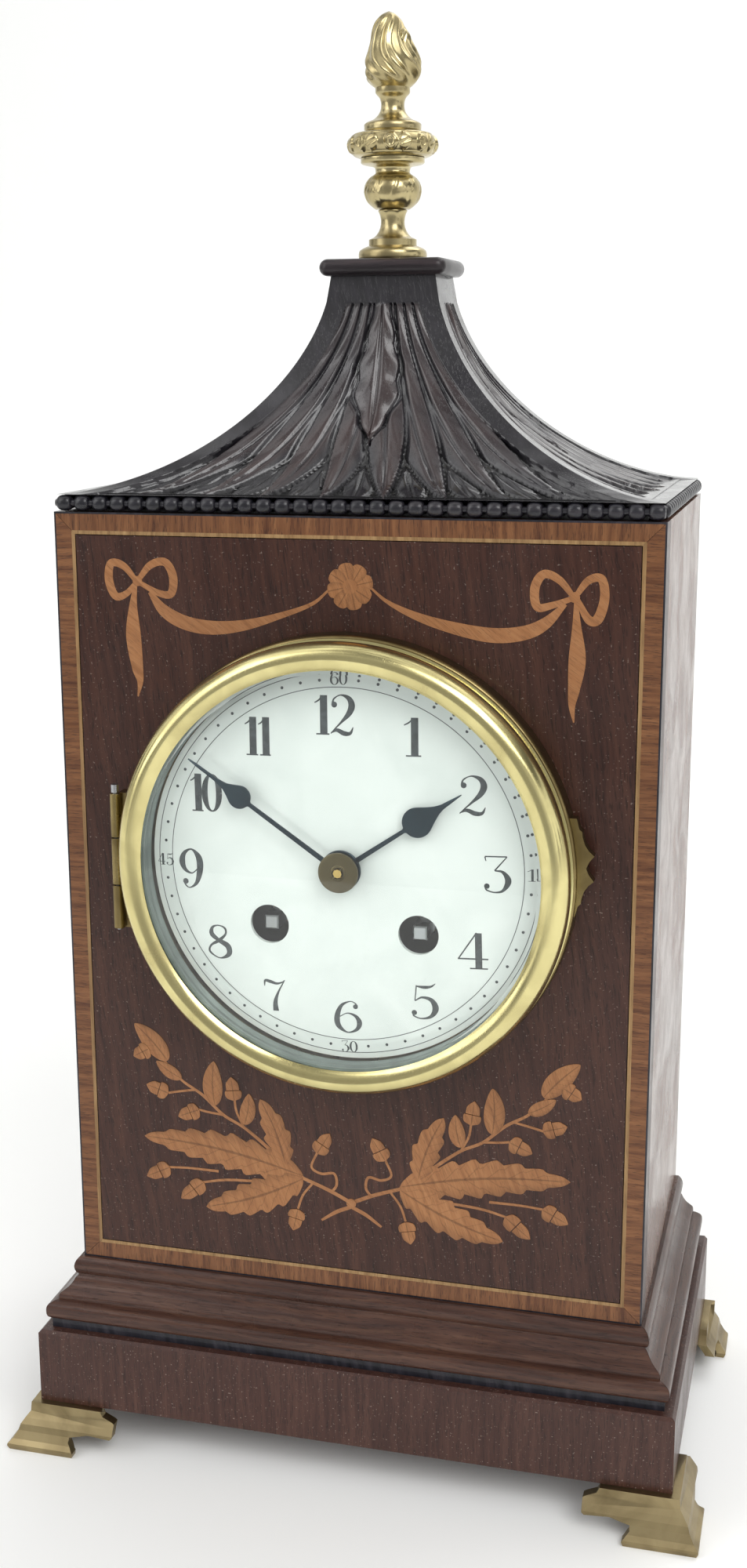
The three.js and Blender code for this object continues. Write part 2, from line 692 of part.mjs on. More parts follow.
// A flame: lobed rings that swell, twist and lean to a blunt tip.
function flameBody() {
  const levels = [[0, 0.66], [0.18, 0.98], [0.36, 0.98], [0.56, 0.82], [0.74, 0.64],
    [0.9, 0.42], [1, 0.12]];
  const sides = flameLobes * 2;
  const rings = levels.map(([up, share]) => {
    const ring = [];
    for (let k = 0; k < sides; k += 1) {
      const turn = (k / sides) * 2 * Math.PI + up * 1.5;
      const lobe = 1 + 0.09 * Math.sin(Math.PI * up) * (k % 2 ? 1 : -1);
      const radius = flameRadius * share * lobe;
      const lean = 0.7 * up;
      ring.push(new THREE.Vector3(radius * Math.cos(turn) + lean, radius * Math.sin(turn), flameHeight * up));
    }
    return ring;
  });
  return loft(rings);
}

// ---------- dial ring, bezel and glass ----------
function hingeBarrel(radius, bore, z0, z1, x, y) {
  const tube = new THREE.Shape(arcPoints(0, 0, radius, 0, 2 * Math.PI, 8).slice(0, -1));
  const hole = new THREE.Path(arcPoints(0, 0, bore, 2 * Math.PI, 0, 6).slice(0, -1));
  tube.holes.push(hole);
  const settings = { depth: z1 - z0, bevelEnabled: false };
  return new THREE.ExtrudeGeometry(tube, settings).translate(x, y, z0);
}

const bezelBackY = -(ringDepth + fitGap);
const bezelFrontY = bezelBackY - bezelDepth;
const hingeY = bezelBackY;

function makeDialRing() {
  const tubeInner = ringTubeRadius - ringTubeWall;
  const seatY = dialEdgeFront + dialThickness;
  const profile = [
    [ringTubeRadius, 0], [ringOuterRadius, 0], [ringOuterRadius, -ringDepth + 0.5],
    [ringOuterRadius - 0.5, -ringDepth], [dialRadius + 2 * fitGap, -ringDepth],
    [dialRadius + 2 * fitGap, seatY + fitGap], [tubeInner, seatY + fitGap],
    [tubeInner, ringTubeDepth], [ringTubeRadius, ringTubeDepth]];
  const ring = turnedY(profile, ringSegments);

  // A latch lug on the right, shaped like a brace: two ears with a notch between them.
  const half = lugHeight / 2;
  const upperHalf = [
    [ringOuterRadius + 1.3, 0], [ringOuterRadius + lugReach, half * 0.36],
    [ringOuterRadius + 0.8, half * 0.62], [ringOuterRadius - 0.6, half], [ringOuterRadius - 4, half]];
  const lowerHalf = upperHalf.slice(1).reverse().map(([x, z]) => [x, -z]);
  const lugOutline = [...lowerHalf, ...upperHalf].map(([x, z]) => [x, z + lugRise]);
  const lug = plateY(outline(lugOutline), -ringDepth + 1, -ringDepth + 1 + lugThickness);

  const pieces = [ring, lug];
  const bore = hingePinRadius + fitGap / 2;
  const gap = hingeMiddleHeight / 2 + fitGap;
  const hingeTop = hingeHeight / 2;
  for (const [low, high] of [[-hingeTop, -gap], [gap, hingeTop]]) {
    const [z0, z1] = [low - hingeDrop, high - hingeDrop];
    pieces.push(hingeBarrel(hingeRadius, bore, z0, z1, -hingeReach, hingeY));
    pieces.push(box(-hingeReach + 0.4, -ringOuterRadius + 4.5, hingeY + bore + 0.1, -1, z0, z1));
  }
  placeOnDial('dial_ring', joined(...pieces), brass);

  const head = barZ(hingePinRadius * 1.7, hingeTop + fitGap, hingeTop + fitGap + hingePinHead);
  const shank = barZ(hingePinRadius, -hingeTop - 0.4, hingeTop + fitGap + 0.5);
  const pin = joined(shank, head).translate(0, hingeY, 0);
  placeOnDial('hinge_pin', pin, steel, -hingeReach, -hingeDrop);
}

function makeBezel() {
  const seatY = bezelFrontY + 1.2;
  const inner = glassRadius + fitGap;
  const crest = (bezelOpening + bezelLipRadius) / 2 - 0.6;
  const lipFront = bezelBackY - bezelLipThickness;
  const profile = [
    [inner, bezelBackY], [bezelLipRadius, bezelBackY], [bezelLipRadius, lipFront],
    [bezelLipRadius - 0.9, lipFront - 0.2], [bezelLipRadius - 0.5, bezelBackY - bezelDepth * 0.4],
    [bezelLipRadius - 1.7, bezelBackY - bezelDepth * 0.83],
    [crest, bezelFrontY], [bezelOpening + 0.8, bezelFrontY + 0.3],
    [bezelOpening, seatY], [inner, seatY]];
  const ring = turnedY(profile, ringSegments);
  const bore = hingePinRadius + fitGap / 2;
  const [low, high] = [-hingeMiddleHeight / 2 - hingeDrop, hingeMiddleHeight / 2 - hingeDrop];
  const barrel = hingeBarrel(hingeRadius, bore, low, high, -hingeReach, hingeY);
  const arm = box(-hingeReach + bore + 0.2, -bezelLipRadius + 1.4, lipFront, bezelBackY, low, high);
  placeOnDial('bezel', joined(ring, barrel, arm), brass);

  const glassFront = seatY + fitGap;
  const glassBack = glassFront + glassThickness;
  const flatRadius = glassRadius - glassBevelWidth;
  const glass = turnedY([[0, glassFront], [flatRadius, glassFront],
    [glassRadius, glassFront + glassThickness * 0.5], [glassRadius, glassBack], [0, glassBack]],
  ringSegments);
  placeOnDial('bezel_glass', glass, glassClear);

  const ringFront = glassBack + fitGap;
  const sight = turnedY([[glassRadius, ringFront], [glassRadius, bezelBackY],
    [glassRadius - sightRingWidth * 1.25, bezelBackY],
    [glassRadius - sightRingWidth * 0.85, ringFront]], ringSegments);
  placeOnDial('sight_ring', sight, silvered);
}

// ---------- dial and hands ----------
function makeDial() {
  const rise = (radius) => dialEdgeFront - dialCrown * (1 - Math.pow(radius / dialRadius, 2));
  const front = [0, 0.55, 1].map((share) => [share * dialRadius, rise(share * dialRadius)]);
  const back = front.map(([radius, y]) => [radius, y + dialThickness]).reverse();
  const disc = turnedY([...front, ...back], ringSegments);
  const deep = [dialEdgeFront - dialCrown - 2, 0];
  const holes = [
    barY(dialCentreHole, ...deep, 0, 0, 12),
    barY(windingHoleRadius, ...deep, windingArborX, windingArborZ, smallSegments),
    barY(windingHoleRadius, ...deep, -windingArborX, windingArborZ, smallSegments)];
  placeOnDial('dial_plate', cut(disc, ...holes), enamel);
}

// A hand pointing up: a boss with a hole, a thin stem, a pear-shaped bulb and a fine point.
function handShape(length, bulbRadius, pipeRadius) {
  const stem = handStem / 2;
  const bulbAt = length * bulbShare;
  const holeRadius = pipeRadius + fitGap;
  const bossRadius = holeRadius + handBossWidth;
  const shape = new THREE.Shape();
  shape.moveTo(stem, bossRadius * 0.9);
  shape.lineTo(stem, bulbAt - bulbRadius * 0.97);
  const side = arcPoints(0, bulbAt, bulbRadius, -1.3, 0.35, 4);
  side.forEach((point) => shape.lineTo(point.x, point.y));
  const shoulder = bulbAt + bulbRadius * 1.9;
  shape.quadraticCurveTo(bulbRadius * 0.5, bulbAt + bulbRadius * 1.3, stem * 0.8, shoulder);
  shape.lineTo(0.15, length);
  shape.lineTo(-0.15, length);
  shape.lineTo(-stem * 0.8, shoulder);
  shape.quadraticCurveTo(-bulbRadius * 0.5, bulbAt + bulbRadius * 1.3, -side[4].x, side[4].y);
  [...side].reverse().forEach((point) => shape.lineTo(-point.x, point.y));
  shape.lineTo(-stem, bossRadius * 0.9);
  const boss = arcPoints(0, 0, bossRadius, Math.PI * 0.58, Math.PI * 2.42, 12);
  boss.forEach((point) => shape.lineTo(point.x, point.y));
  circleHole(shape, 0, 0, holeRadius, 10);
  return shape;
}

const minuteTurn = (restMinutes / 60) * 2 * Math.PI;
const hourTurn = ((1 + restMinutes / 60) / 12) * 2 * Math.PI;

function makeHands() {
  const minuteShape = handShape(minuteHandLength, minuteBulbRadius, cannonRadius);
  const minute = plateY(minuteShape, minuteHandY, minuteHandY + handThickness, 4);
  placeOnDial('minute_hand', minute.rotateY(minuteTurn), bluedSteel);
  const hourShape = handShape(hourHandLength, hourBulbRadius, hourPipeRadius);
  const hour = plateY(hourShape, hourHandY, hourHandY + handThickness, 4);
  placeOnDial('hour_hand', hour.rotateY(hourTurn), bluedSteel);
  const colletBack = minuteHandY - 0.1;
  const bore = centreArborRadius + fitGap;
  const collet = turnedY([[bore, colletBack], [colletRadius, colletBack],
    [colletRadius - 0.3, colletBack - colletThickness], [bore, colletBack - colletThickness]], smallSegments);
  placeOnDial('hand_collet', collet, brass);
}

// ---------- wheels ----------

// A wheel is a list of pointed teeth; a pinion has flat-topped leaves. Angles run from +X to +Z.
function wheelShape(teeth, module, turn, bore) {
  const pitch = (teeth * module) / 2;
  const corners = [];
  for (let i = 0; i < teeth; i += 1) {
    const at = turn + (i / teeth) * 2 * Math.PI;
    const gap = at + Math.PI / teeth;
    corners.push([(pitch + 0.75 * module) * Math.cos(at), (pitch + 0.75 * module) * Math.sin(at)]);
    corners.push([(pitch - 1.7 * module) * Math.cos(gap), (pitch - 1.7 * module) * Math.sin(gap)]);
  }
  const shape = outline(corners);
  circleHole(shape, 0, 0, bore, arborSegments);
  return shape;
}

function pinionShape(leaves, module, turn, bore) {
  const pitch = (leaves * module) / 2;
  const leaf = (2 * Math.PI) / leaves;
  const corners = [];
  for (let i = 0; i < leaves; i += 1) {
    const at = turn + i * leaf;
    for (const [out, share] of [[-1.15, -0.2], [0.55, -0.12], [0.55, 0.12], [-1.15, 0.2]]) {
      const radius = pitch + out * module;
      corners.push([radius * Math.cos(at + share * leaf), radius * Math.sin(at + share * leaf)]);
    }
  }
  const shape = outline(corners);
  if (bore > 0) circleHole(shape, 0, 0, bore, arborSegments);
  return shape;
}

// The turn that puts a gap of the second wheel on a tooth of the first, along their line of centres.
function meshedTurn(firstTeeth, firstTurn, secondTeeth, direction) {
  const toothPhase = ((direction - firstTurn) * firstTeeth) / (2 * Math.PI);
  const gapPhase = 0.5 - toothPhase;
  return direction + Math.PI - (gapPhase * 2 * Math.PI) / secondTeeth;
}

// The direction and distance between two arbors.
function lineOf(from, to) {
  const [dx, dz] = [to.x - from.x, to.z - from.z];
  return { direction: Math.atan2(dz, dx), distance: Math.hypot(dx, dz) };
}

// The arbor that stands at two given distances from two others, on the right of the line between them.
function meetingPoint(first, firstDistance, second, secondDistance) {
  const line = lineOf(first, second);
  const { distance } = line;
  const along = (firstDistance ** 2 - secondDistance ** 2 + distance ** 2) / (2 * distance);
  const turn = line.direction - Math.acos(along / firstDistance);
  return { x: first.x + firstDistance * Math.cos(turn), z: first.z + firstDistance * Math.sin(turn) };
}

// Teeth and modules of the going train, from the barrel to the escape wheel.
const greatTeeth = 40;
const greatModule = 0.834;
const middlePinionLeaves = 8;
const middleTeeth = 48;
const middleModule = 0.58;
const centrePinionLeaves = 8;
const centreTeeth = 72;
const centreModule = 0.4;
const thirdPinionLeaves = 6;
const thirdTeeth = 84;
const thirdModule = 0.32;
const escapePinionLeaves = 6;
const escapeTeeth = 31;
const escapeRadius = 8;
const cannonLeaves = 10;
const cannonModule = 0.6;
const minuteWheelTeeth = 30;
const minutePinionLeaves = 8;
const hourTeeth = 32;
const minuteDirection = Math.PI / 2;

// Arbor places, seen from the front, from the middle of the dial.
const centre = { x: 0, z: 0 };
const goingAt = { x: windingArborX, z: windingArborZ };
const strikeAt = { x: -windingArborX, z: windingArborZ };
const greatReach = ((greatTeeth + middlePinionLeaves) * greatModule) / 2;
const middleReach = ((middleTeeth + centrePinionLeaves) * middleModule) / 2;
const middleAt = meetingPoint(goingAt, greatReach, centre, middleReach);
const thirdReach = ((centreTeeth + thirdPinionLeaves) * centreModule) / 2;
const escapeReach = ((thirdTeeth + escapePinionLeaves) * thirdModule) / 2;
const thirdLean = (115 * Math.PI) / 180;
const thirdAt = { x: thirdReach * Math.cos(thirdLean), z: thirdReach * Math.sin(thirdLean) };
const escapeAt = { x: 0, z: thirdAt.z + Math.sqrt(escapeReach ** 2 - thirdAt.x ** 2) };
const palletsAt = { x: 0, z: escapeAt.z + palletAxisGap };
const motionReach = ((cannonLeaves + minuteWheelTeeth) * cannonModule) / 2;
const hourModule = (2 * motionReach) / (minutePinionLeaves + hourTeeth);
const minuteAt = { x: motionReach * Math.cos(minuteDirection), z: motionReach * Math.sin(minuteDirection) };

const backPlateBack = backPlateY + plateThickness;
const leverFront = backPlateBack + leverGap;
const leverBack = leverFront + leverThickness;
const frontPlateBack = frontPlateY + plateThickness;
const escapeWheelY = 28;
const arborFront = frontPlateY + 0.4;
const arborBack = backPlateBack - 0.4;

// A wheel and a pinion on one arbor. The wheel's front lies at its own Y; a pinion runs past the
// wheel that it meshes with, whose front lies at the pinion's Y, on both sides.
function arborPiece(wheel, pinion, radius, y0, y1) {
  const pieces = [barY(radius, y0, y1)];
  if (wheel) {
    const shape = wheelShape(wheel.teeth, wheel.module, wheel.turn, radius * 0.5);
    pieces.push(plateY(shape, wheel.y, wheel.y + wheelThickness));
  }
  if (pinion) {
    const shape = pinionShape(pinion.leaves, pinion.module, pinion.turn, 0);
    pieces.push(plateY(shape, pinion.y - pinionOverrun, pinion.y + wheelThickness + pinionOverrun));
  }
  return joined(...pieces);
}

function makeTrain() {
  const centreWheelY = 6.2;
  const greatY = 8.4;
  const middleWheelY = 31;
  const thirdWheelY = 22;
  // centre arbor: wheel in front, pinion at the back, long front pivot through the hands
  const toMiddle = lineOf(middleAt, centre);
  const toGreat = lineOf(goingAt, middleAt);
  const middleTurn = meshedTurn(greatTeeth, 0, middlePinionLeaves, toGreat.direction);
  const centreTurn = meshedTurn(middleTeeth, middleTurn, centrePinionLeaves, toMiddle.direction);
  const frontTip = minuteHandY - colletThickness - 0.4;
  const centrePiece = arborPiece(
    { teeth: centreTeeth, module: centreModule, turn: centreTurn, y: centreWheelY },
    { leaves: centrePinionLeaves, module: middleModule, turn: centreTurn, y: middleWheelY },
    centreArborRadius, frontTip, arborBack);
  placeOnDial('centre_arbor', centrePiece, brass);

  const middlePiece = arborPiece(
    { teeth: middleTeeth, module: middleModule, turn: middleTurn, y: middleWheelY },
    { leaves: middlePinionLeaves, module: greatModule, turn: middleTurn, y: greatY },
    arborRadius, arborFront, arborBack);
  placeOnDial('intermediate_wheel', middlePiece, brass, middleAt.x, middleAt.z);

  const thirdTurn = meshedTurn(centreTeeth, centreTurn, thirdPinionLeaves, thirdLean);
  const thirdPiece = arborPiece(
    { teeth: thirdTeeth, module: thirdModule, turn: thirdTurn, y: thirdWheelY },
    { leaves: thirdPinionLeaves, module: centreModule, turn: thirdTurn, y: centreWheelY },
    arborRadius * 0.6, arborFront, arborBack);
  placeOnDial('third_wheel', thirdPiece, brass, thirdAt.x, thirdAt.z);

  const toEscape = lineOf(thirdAt, escapeAt);
  const escapeTurn = meshedTurn(thirdTeeth, thirdTurn, escapePinionLeaves, toEscape.direction);
  const escapeModule = (2 * escapeRadius) / escapeTeeth;
  const escapeArbor = arborPiece(null,
    { leaves: escapePinionLeaves, module: thirdModule, turn: escapeTurn, y: thirdWheelY },
    arborRadius * 0.55, arborFront, arborBack);
  const escape = plateY(escapeShape(escapeModule), escapeWheelY, escapeWheelY + wheelThickness);
  placeOnDial('escape_wheel', joined(escapeArbor, escape), brass, escapeAt.x, escapeAt.z);

  for (const [name, at] of [['going', goingAt], ['strike', strikeAt]]) {
    placeOnDial(`${name}_barrel`, barrel(greatY), brass, at.x, at.z);
    placeOnDial(`${name}_winding_arbor`, windingArbor(), steel, at.x, at.z);
  }
}

// Pointed, leaning teeth of the escape wheel.
function escapeShape(module) {
  const corners = [];
  for (let i = 0; i < escapeTeeth; i += 1) {
    const at = (i / escapeTeeth) * 2 * Math.PI;
    const step = (2 * Math.PI) / escapeTeeth;
    corners.push([escapeRadius * Math.cos(at), escapeRadius * Math.sin(at)]);
    const root = escapeRadius - 2.6 * module;
    corners.push([root * Math.cos(at + step * 0.35), root * Math.sin(at + step * 0.35)]);
  }
  return outline(corners);
}

// A going barrel: a drum with its toothed great wheel in front, turning freely on the winding arbor.
function barrel(greatY) {
  const bore = windingArborRadius + fitGap;
  const great = plateY(wheelShape(greatTeeth, greatModule, 0, bore + 0.6), greatY, greatY + wheelThickness);
  const drum = turnedY([[bore, greatY], [barrelRadius - 2, greatY], [barrelRadius - 2, barrelFront],
    [barrelRadius, barrelFront], [barrelRadius, barrelBack], [bore, barrelBack]], smallSegments);
  return joined(great, drum);
}

function windingArbor() {
  const half = windingSquare / 2;
  const round = barY(windingArborRadius, frontPlateY - fitGap, arborBack, 0, 0, 12);
  const square = box(-half, half, windingSquareFront, frontPlateY, -half, half);
  return joined(round, square);
}

function makeMotionWork() {
  const wheelY = 1.5;
  const hourY = -1.2;
  const leafY1 = frontPlateY - 0.2;
  const cannonTurn = 0;
  const bore = centreArborRadius + fitGap;
  const leaves = plateY(pinionShape(cannonLeaves, cannonModule, cannonTurn, bore), wheelY - 0.2, leafY1);
  const pipe = turnedY([[bore, minuteHandY], [cannonRadius, minuteHandY],
    [cannonRadius, leafY1], [bore, leafY1]], arborSegments);
  placeOnDial('cannon_pinion', joined(pipe, leaves), brass);

  const wheelTurn = meshedTurn(cannonLeaves, cannonTurn, minuteWheelTeeth, minuteDirection);
  const stud = arborPiece(
    { teeth: minuteWheelTeeth, module: cannonModule, turn: wheelTurn, y: wheelY },
    { leaves: minutePinionLeaves, module: hourModule, turn: wheelTurn, y: hourY + pinionOverrun },
    arborRadius * 0.8, hourY - 0.5, frontPlateBack - 0.4);
  placeOnDial('minute_wheel', stud, brass, minuteAt.x, minuteAt.z);

  const back = minuteDirection + Math.PI;
  const hourWheelTurn = meshedTurn(minutePinionLeaves, wheelTurn, hourTeeth, back);
  const pipeBore = cannonRadius + fitGap;
  const wheelBack = hourY + wheelThickness;
  const wheel = plateY(wheelShape(hourTeeth, hourModule, hourWheelTurn, pipeBore + 0.3), hourY, wheelBack);
  const sleeve = turnedY([[pipeBore, hourHandY], [hourPipeRadius, hourHandY],
    [hourPipeRadius, wheelBack], [pipeBore, wheelBack]], 12);
  placeOnDial('hour_wheel', joined(sleeve, wheel), brass);
}

// ---------- plates, escapement and pendulum ----------
function makePlates() {
  const pillarReach = plateRadius - pillarInset;
  const pillars = [39.5, 140.5, -77.7, -102.3].map((degrees) => {
    const turn = (degrees * Math.PI) / 180;
    return [pillarReach * Math.cos(turn), pillarReach * Math.sin(turn)];
  });
  const arbors = [
    [centre, centreArborRadius], [middleAt, arborRadius], [thirdAt, arborRadius * 0.6],
    [escapeAt, arborRadius * 0.55], [palletsAt, arborRadius],
    [goingAt, windingArborRadius], [strikeAt, windingArborRadius],
    [{ x: hammerPivotX, z: hammerPivotZ }, arborRadius]];
  const plateShape = (extra) => {
    const disc = new THREE.Shape(arcPoints(0, 0, plateRadius, 0, 2 * Math.PI, ringSegments).slice(0, -1));
    for (const [at, radius] of [...arbors, ...extra]) {
      circleHole(disc, at.x, at.z, radius + pivotClearance, arborSegments);
    }
    return disc;
  };
  const front = plateY(plateShape([[minuteAt, arborRadius * 0.8]]), frontPlateY, frontPlateBack);
  placeOnDial('front_plate', front, brass);
  const back = plateY(plateShape([]), backPlateY, backPlateBack);
  const posts = pillars.map(([x, z]) => barY(pillarRadius, frontPlateBack, backPlateY + 0.5, x, z, 8));
  placeOnDial('back_plate', joined(back, ...posts), brass);
}

function makeEscapement() {
  // anchor: two arms that reach down to either side of the escape wheel, just clear of its teeth
  const clear = escapeRadius + 0.4;
  const span = (7.5 / escapeTeeth) * Math.PI;
  const [px, pz] = [clear * Math.sin(span), clear * Math.cos(span) - palletAxisGap];
  const anchor = plateY(outline([
    [-1.6, 1.6], [1.6, 1.6], [px + 1.6, pz + 2.2], [px + 1.2, pz + 0.2], [px + 0.1, pz + 0.1],
    [px - 0.6, pz + 2], [0, -1.6], [0.6 - px, pz + 2], [-px - 0.1, pz + 0.1],
    [-px - 1.2, pz + 0.2], [-px - 1.6, pz + 2.2]]), escapeWheelY - 0.4, escapeWheelY + 1.4);
  const arbor = barY(arborRadius, arborFront, leverBack, 0, 0, 8);
  const crutchLength = 20;
  const crutch = box(-0.8, 0.8, leverFront, leverBack, -crutchLength, 0.8);
  const prong = pendulumRodRadius + 0.35;
  const fork = [-1, 1].map((side) => {
    const [a, b] = side < 0 ? [-prong - 1, -prong] : [prong, prong + 1];
    return box(a, b, leverFront, pendulumY + 2, -crutchLength, 2.2 - crutchLength);
  });
  const bridge = box(-prong - 1, prong + 1, leverFront, leverBack, -crutchLength, 2.2 - crutchLength);
  placeOnDial('pallets', joined(anchor, arbor, crutch, bridge, ...fork), steel, palletsAt.x, palletsAt.z);

  // pendulum: spring, rod and lens-shaped bob
  const swingZ = palletsAt.z;
  const rodTop = -3;
  const bobZ = -pendulumLength;
  const spring = box(-2, 2, pendulumY - 0.2, pendulumY + 0.2, rodTop - 2, pendulumTop);
  const rod = barZ(pendulumRodRadius, bobZ + bobRadius - 2, rodTop, 0, pendulumY, 8);
  const chops = box(-2.4, 2.4, pendulumY - 1, pendulumY + 1, rodTop - 3, rodTop);
  placeOnDial('pendulum_rod', joined(spring, chops, rod), steel, 0, swingZ);
  const half = bobThickness / 2;
  const lens = turnedY([[0, -half], [bobRadius * 0.6, -half * 0.75], [bobRadius, -0.8], [bobRadius, 0.8],
    [bobRadius * 0.6, half * 0.75], [0, half]], smallSegments);
  const slot = barZ(pendulumRodRadius + 0.1, bobRadius - 3, bobRadius + 2, 0, 0, 8);
  const bob = cut(lens, slot).translate(0, pendulumY, bobZ);
  placeOnDial('pendulum_bob', bob, brass, 0, swingZ);

  // the cock that the pendulum hangs from, screwed to the back plate beside the pallet arbor
  const armBottom = swingZ + pendulumTop + fitGap;
  const foot = box(2.6, 9, backPlateBack, backPlateBack + 1.8, swingZ - 6, armBottom + 2);
  const arm = box(-3, 9, backPlateBack, pendulumY + 2.5, armBottom, armBottom + 2);
  placeOnDial('suspension_cock', joined(foot, arm), brass);
}

// ---------- strike ----------
function makeStrike() {
  const crownY = bellFrontY + bellDepth;
  const outer = [[bellRadius, bellFrontY], [bellRadius * 0.94, bellFrontY + bellDepth * 0.4],
    [bellRadius * 0.7, bellFrontY + bellDepth * 0.8], [6, crownY]];
  const thin = bellWall * 0.8;
  const inner = outer.slice(0, -1).map(([r, y]) => [r - bellWall, y > bellFrontY ? y - thin : y]);
  const profile = [...outer, [2.4, crownY], [2.4, crownY - thin], ...inner.reverse()];
  placeOnDial('bell', turnedY(profile, smallSegments), brass);

  // a post on the back plate, with an arm behind the bell and a stud through the bell's crown
  const armFront = crownY + 0.4;
  const post = barY(2, backPlateBack, armFront + 1, bellPostX, -bellPostX, 10);
  const reach = bellPostX * Math.SQRT2;
  const arm = box(-3, reach + 2, armFront, armFront + 2, -3, 3).rotateY(Math.PI / 4);
  const stud = barY(2, crownY - 3, armFront + 1, 0, 0, 10);
  placeOnDial('bell_post', joined(post, arm, stud), brass);

  // hammer: arbor between the plates, arm behind the back plate, head beside the rim of the bell
  const headReach = bellRadius + hammerHeadGap + hammerHeadRadius;
  const headTurn = Math.PI / 4;
  const head = {
    x: headReach * Math.cos(headTurn) - hammerPivotX,
    z: headReach * Math.sin(headTurn) - hammerPivotZ,
  };
  const length = Math.hypot(head.x, head.z);
  const armBar = box(0, length, leverFront, leverBack, -1, 1).rotateY(-Math.atan2(head.z, head.x));
  const headBar = barY(hammerHeadRadius, leverFront, bellFrontY + 4, head.x, head.z, 12);
  const arbor = barY(arborRadius, arborFront, leverBack, 0, 0, 8);
  const boss = barY(1.8, leverFront, leverBack, 0, 0, 10);
  placeOnDial('hammer', joined(arbor, boss, armBar, headBar), steel, hammerPivotX, hammerPivotZ);
}

// ---------- straps and rear door ----------
function makeStraps() {
  const outer = caseHoleRadius - 0.45;
  const back = caseDepth - fitGap;
  const footLength = 7;
  for (const [name, side] of [['left', -1], ['right', 1]]) {
    const xs = (near, far) => (side < 0 ? [-far, -near] : [near, far]);
    const blade = box(...xs(outer - strapThickness, outer), fitGap, back, -strapWidth / 2, strapWidth / 2);
    const foot = box(...xs(outer - footLength, outer), back - 2, back, -strapWidth / 2, strapWidth / 2);
    placeOnDial(`strap_${name}`, joined(blade, foot), brass);
  }
}

function makeRearDoor() {
  const ringBack = caseDepth + backRingThickness;
  const ring = turnedY([[backRingOpening, caseDepth], [backRingRadius, caseDepth],
    [backRingRadius, ringBack - 0.8], [backRingRadius - 1, ringBack], [backRingOpening, ringBack]],
  ringSegments - 4);
  const pieces = [ring];
  const hingeLine = doorFaceY + doorHingeRadius - 0.6;
  const gap = doorHingeMiddle / 2 + fitGap;
  for (const [z0, z1] of [[-doorHingeHeight / 2, -gap], [gap, doorHingeHeight / 2]]) {
    pieces.push(barZ(doorHingeRadius, z0, z1, -doorHingeReach, hingeLine));
    pieces.push(box(-doorHingeReach, -backRingRadius + 3, caseDepth + 0.2, ringBack, z0, z1));
  }
  pieces.push(barZ(doorHingePinRadius, -gap - 1, gap + 1, -doorHingeReach, hingeLine));
  placeOnDial('back_ring', joined(...pieces), brass);

  const dishRadius = doorRadius - doorRim;
  const face = doorFaceY;
  const shell = turnedY([[0, face + doorDish], [dishRadius - 1, face + doorDish],
    [dishRadius, face], [doorRadius, face], [doorRadius, face + doorWall],
    [dishRadius + 0.9, face + doorWall], [dishRadius - 0.2, doorBackY], [0, doorBackY]],
  ringSegments - 4);
  const knobX = dishRadius - 6;
  const knob = turnedY([[0, -0.5], [1.4, -0.5], [1.2, 1.4], [2.4, 2.2],
    [2.2, doorKnobLength], [0, doorKnobLength]], arborSegments);
  knob.translate(knobX, doorBackY, 0);
  const half = doorHingeMiddle / 2;
  const doorBore = doorHingePinRadius + fitGap;
  const barrelTube = hingeBarrel(doorHingeRadius, doorBore, -half, half, -doorHingeReach, hingeLine);
  const arm = box(-doorHingeReach + 1.3, -doorRadius + 2, face, face + doorWall, -half, half);
  placeOnDial('back_door', joined(shell, knob, barrelTube, arm), brass);
}

makeCase();
makeBase();
makeFeet();
makeBeads();
makeRoof();
makeFinial();
makeDialRing();
makeBezel();
makeDial();
makeHands();
makeTrain();
makeMotionWork();
makePlates();
makeEscapement();
makeStrike();
makeStraps();
makeRearDoor();

export default assembly;
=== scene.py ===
import bmesh
import bpy
import math
import numpy as np
from mathutils import Matrix, Vector
from mathutils.geometry import delaunay_2d_cdt


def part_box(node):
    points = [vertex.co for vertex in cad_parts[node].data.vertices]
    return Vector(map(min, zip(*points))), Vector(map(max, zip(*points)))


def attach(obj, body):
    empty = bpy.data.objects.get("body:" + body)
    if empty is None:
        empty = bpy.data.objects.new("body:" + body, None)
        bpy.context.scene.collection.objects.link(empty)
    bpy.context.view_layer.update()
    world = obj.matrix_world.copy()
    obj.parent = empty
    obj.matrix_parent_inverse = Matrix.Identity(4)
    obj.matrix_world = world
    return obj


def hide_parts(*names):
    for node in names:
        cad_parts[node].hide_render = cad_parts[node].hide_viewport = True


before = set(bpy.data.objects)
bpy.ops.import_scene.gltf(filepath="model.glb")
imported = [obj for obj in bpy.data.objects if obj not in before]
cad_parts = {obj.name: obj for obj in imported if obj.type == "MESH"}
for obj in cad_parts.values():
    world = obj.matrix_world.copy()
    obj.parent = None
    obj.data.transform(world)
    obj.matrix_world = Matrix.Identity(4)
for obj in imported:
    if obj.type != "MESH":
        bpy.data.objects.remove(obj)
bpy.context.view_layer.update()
print("frame loaded")

# places shared by the pieces, in metres
mm = 0.001
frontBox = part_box("front_panel")
caseFront = frontBox[0][1]             # the face of the case
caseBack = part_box("back_panel")[1][1]
caseBottom = frontBox[0][2]
caseTop = frontBox[1][2]
halfWidth = frontBox[1][0]
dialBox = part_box("dial_plate")
dialZ = (dialBox[0][2] + dialBox[1][2]) / 2
dialRadius = (dialBox[1][2] - dialBox[0][2]) / 2

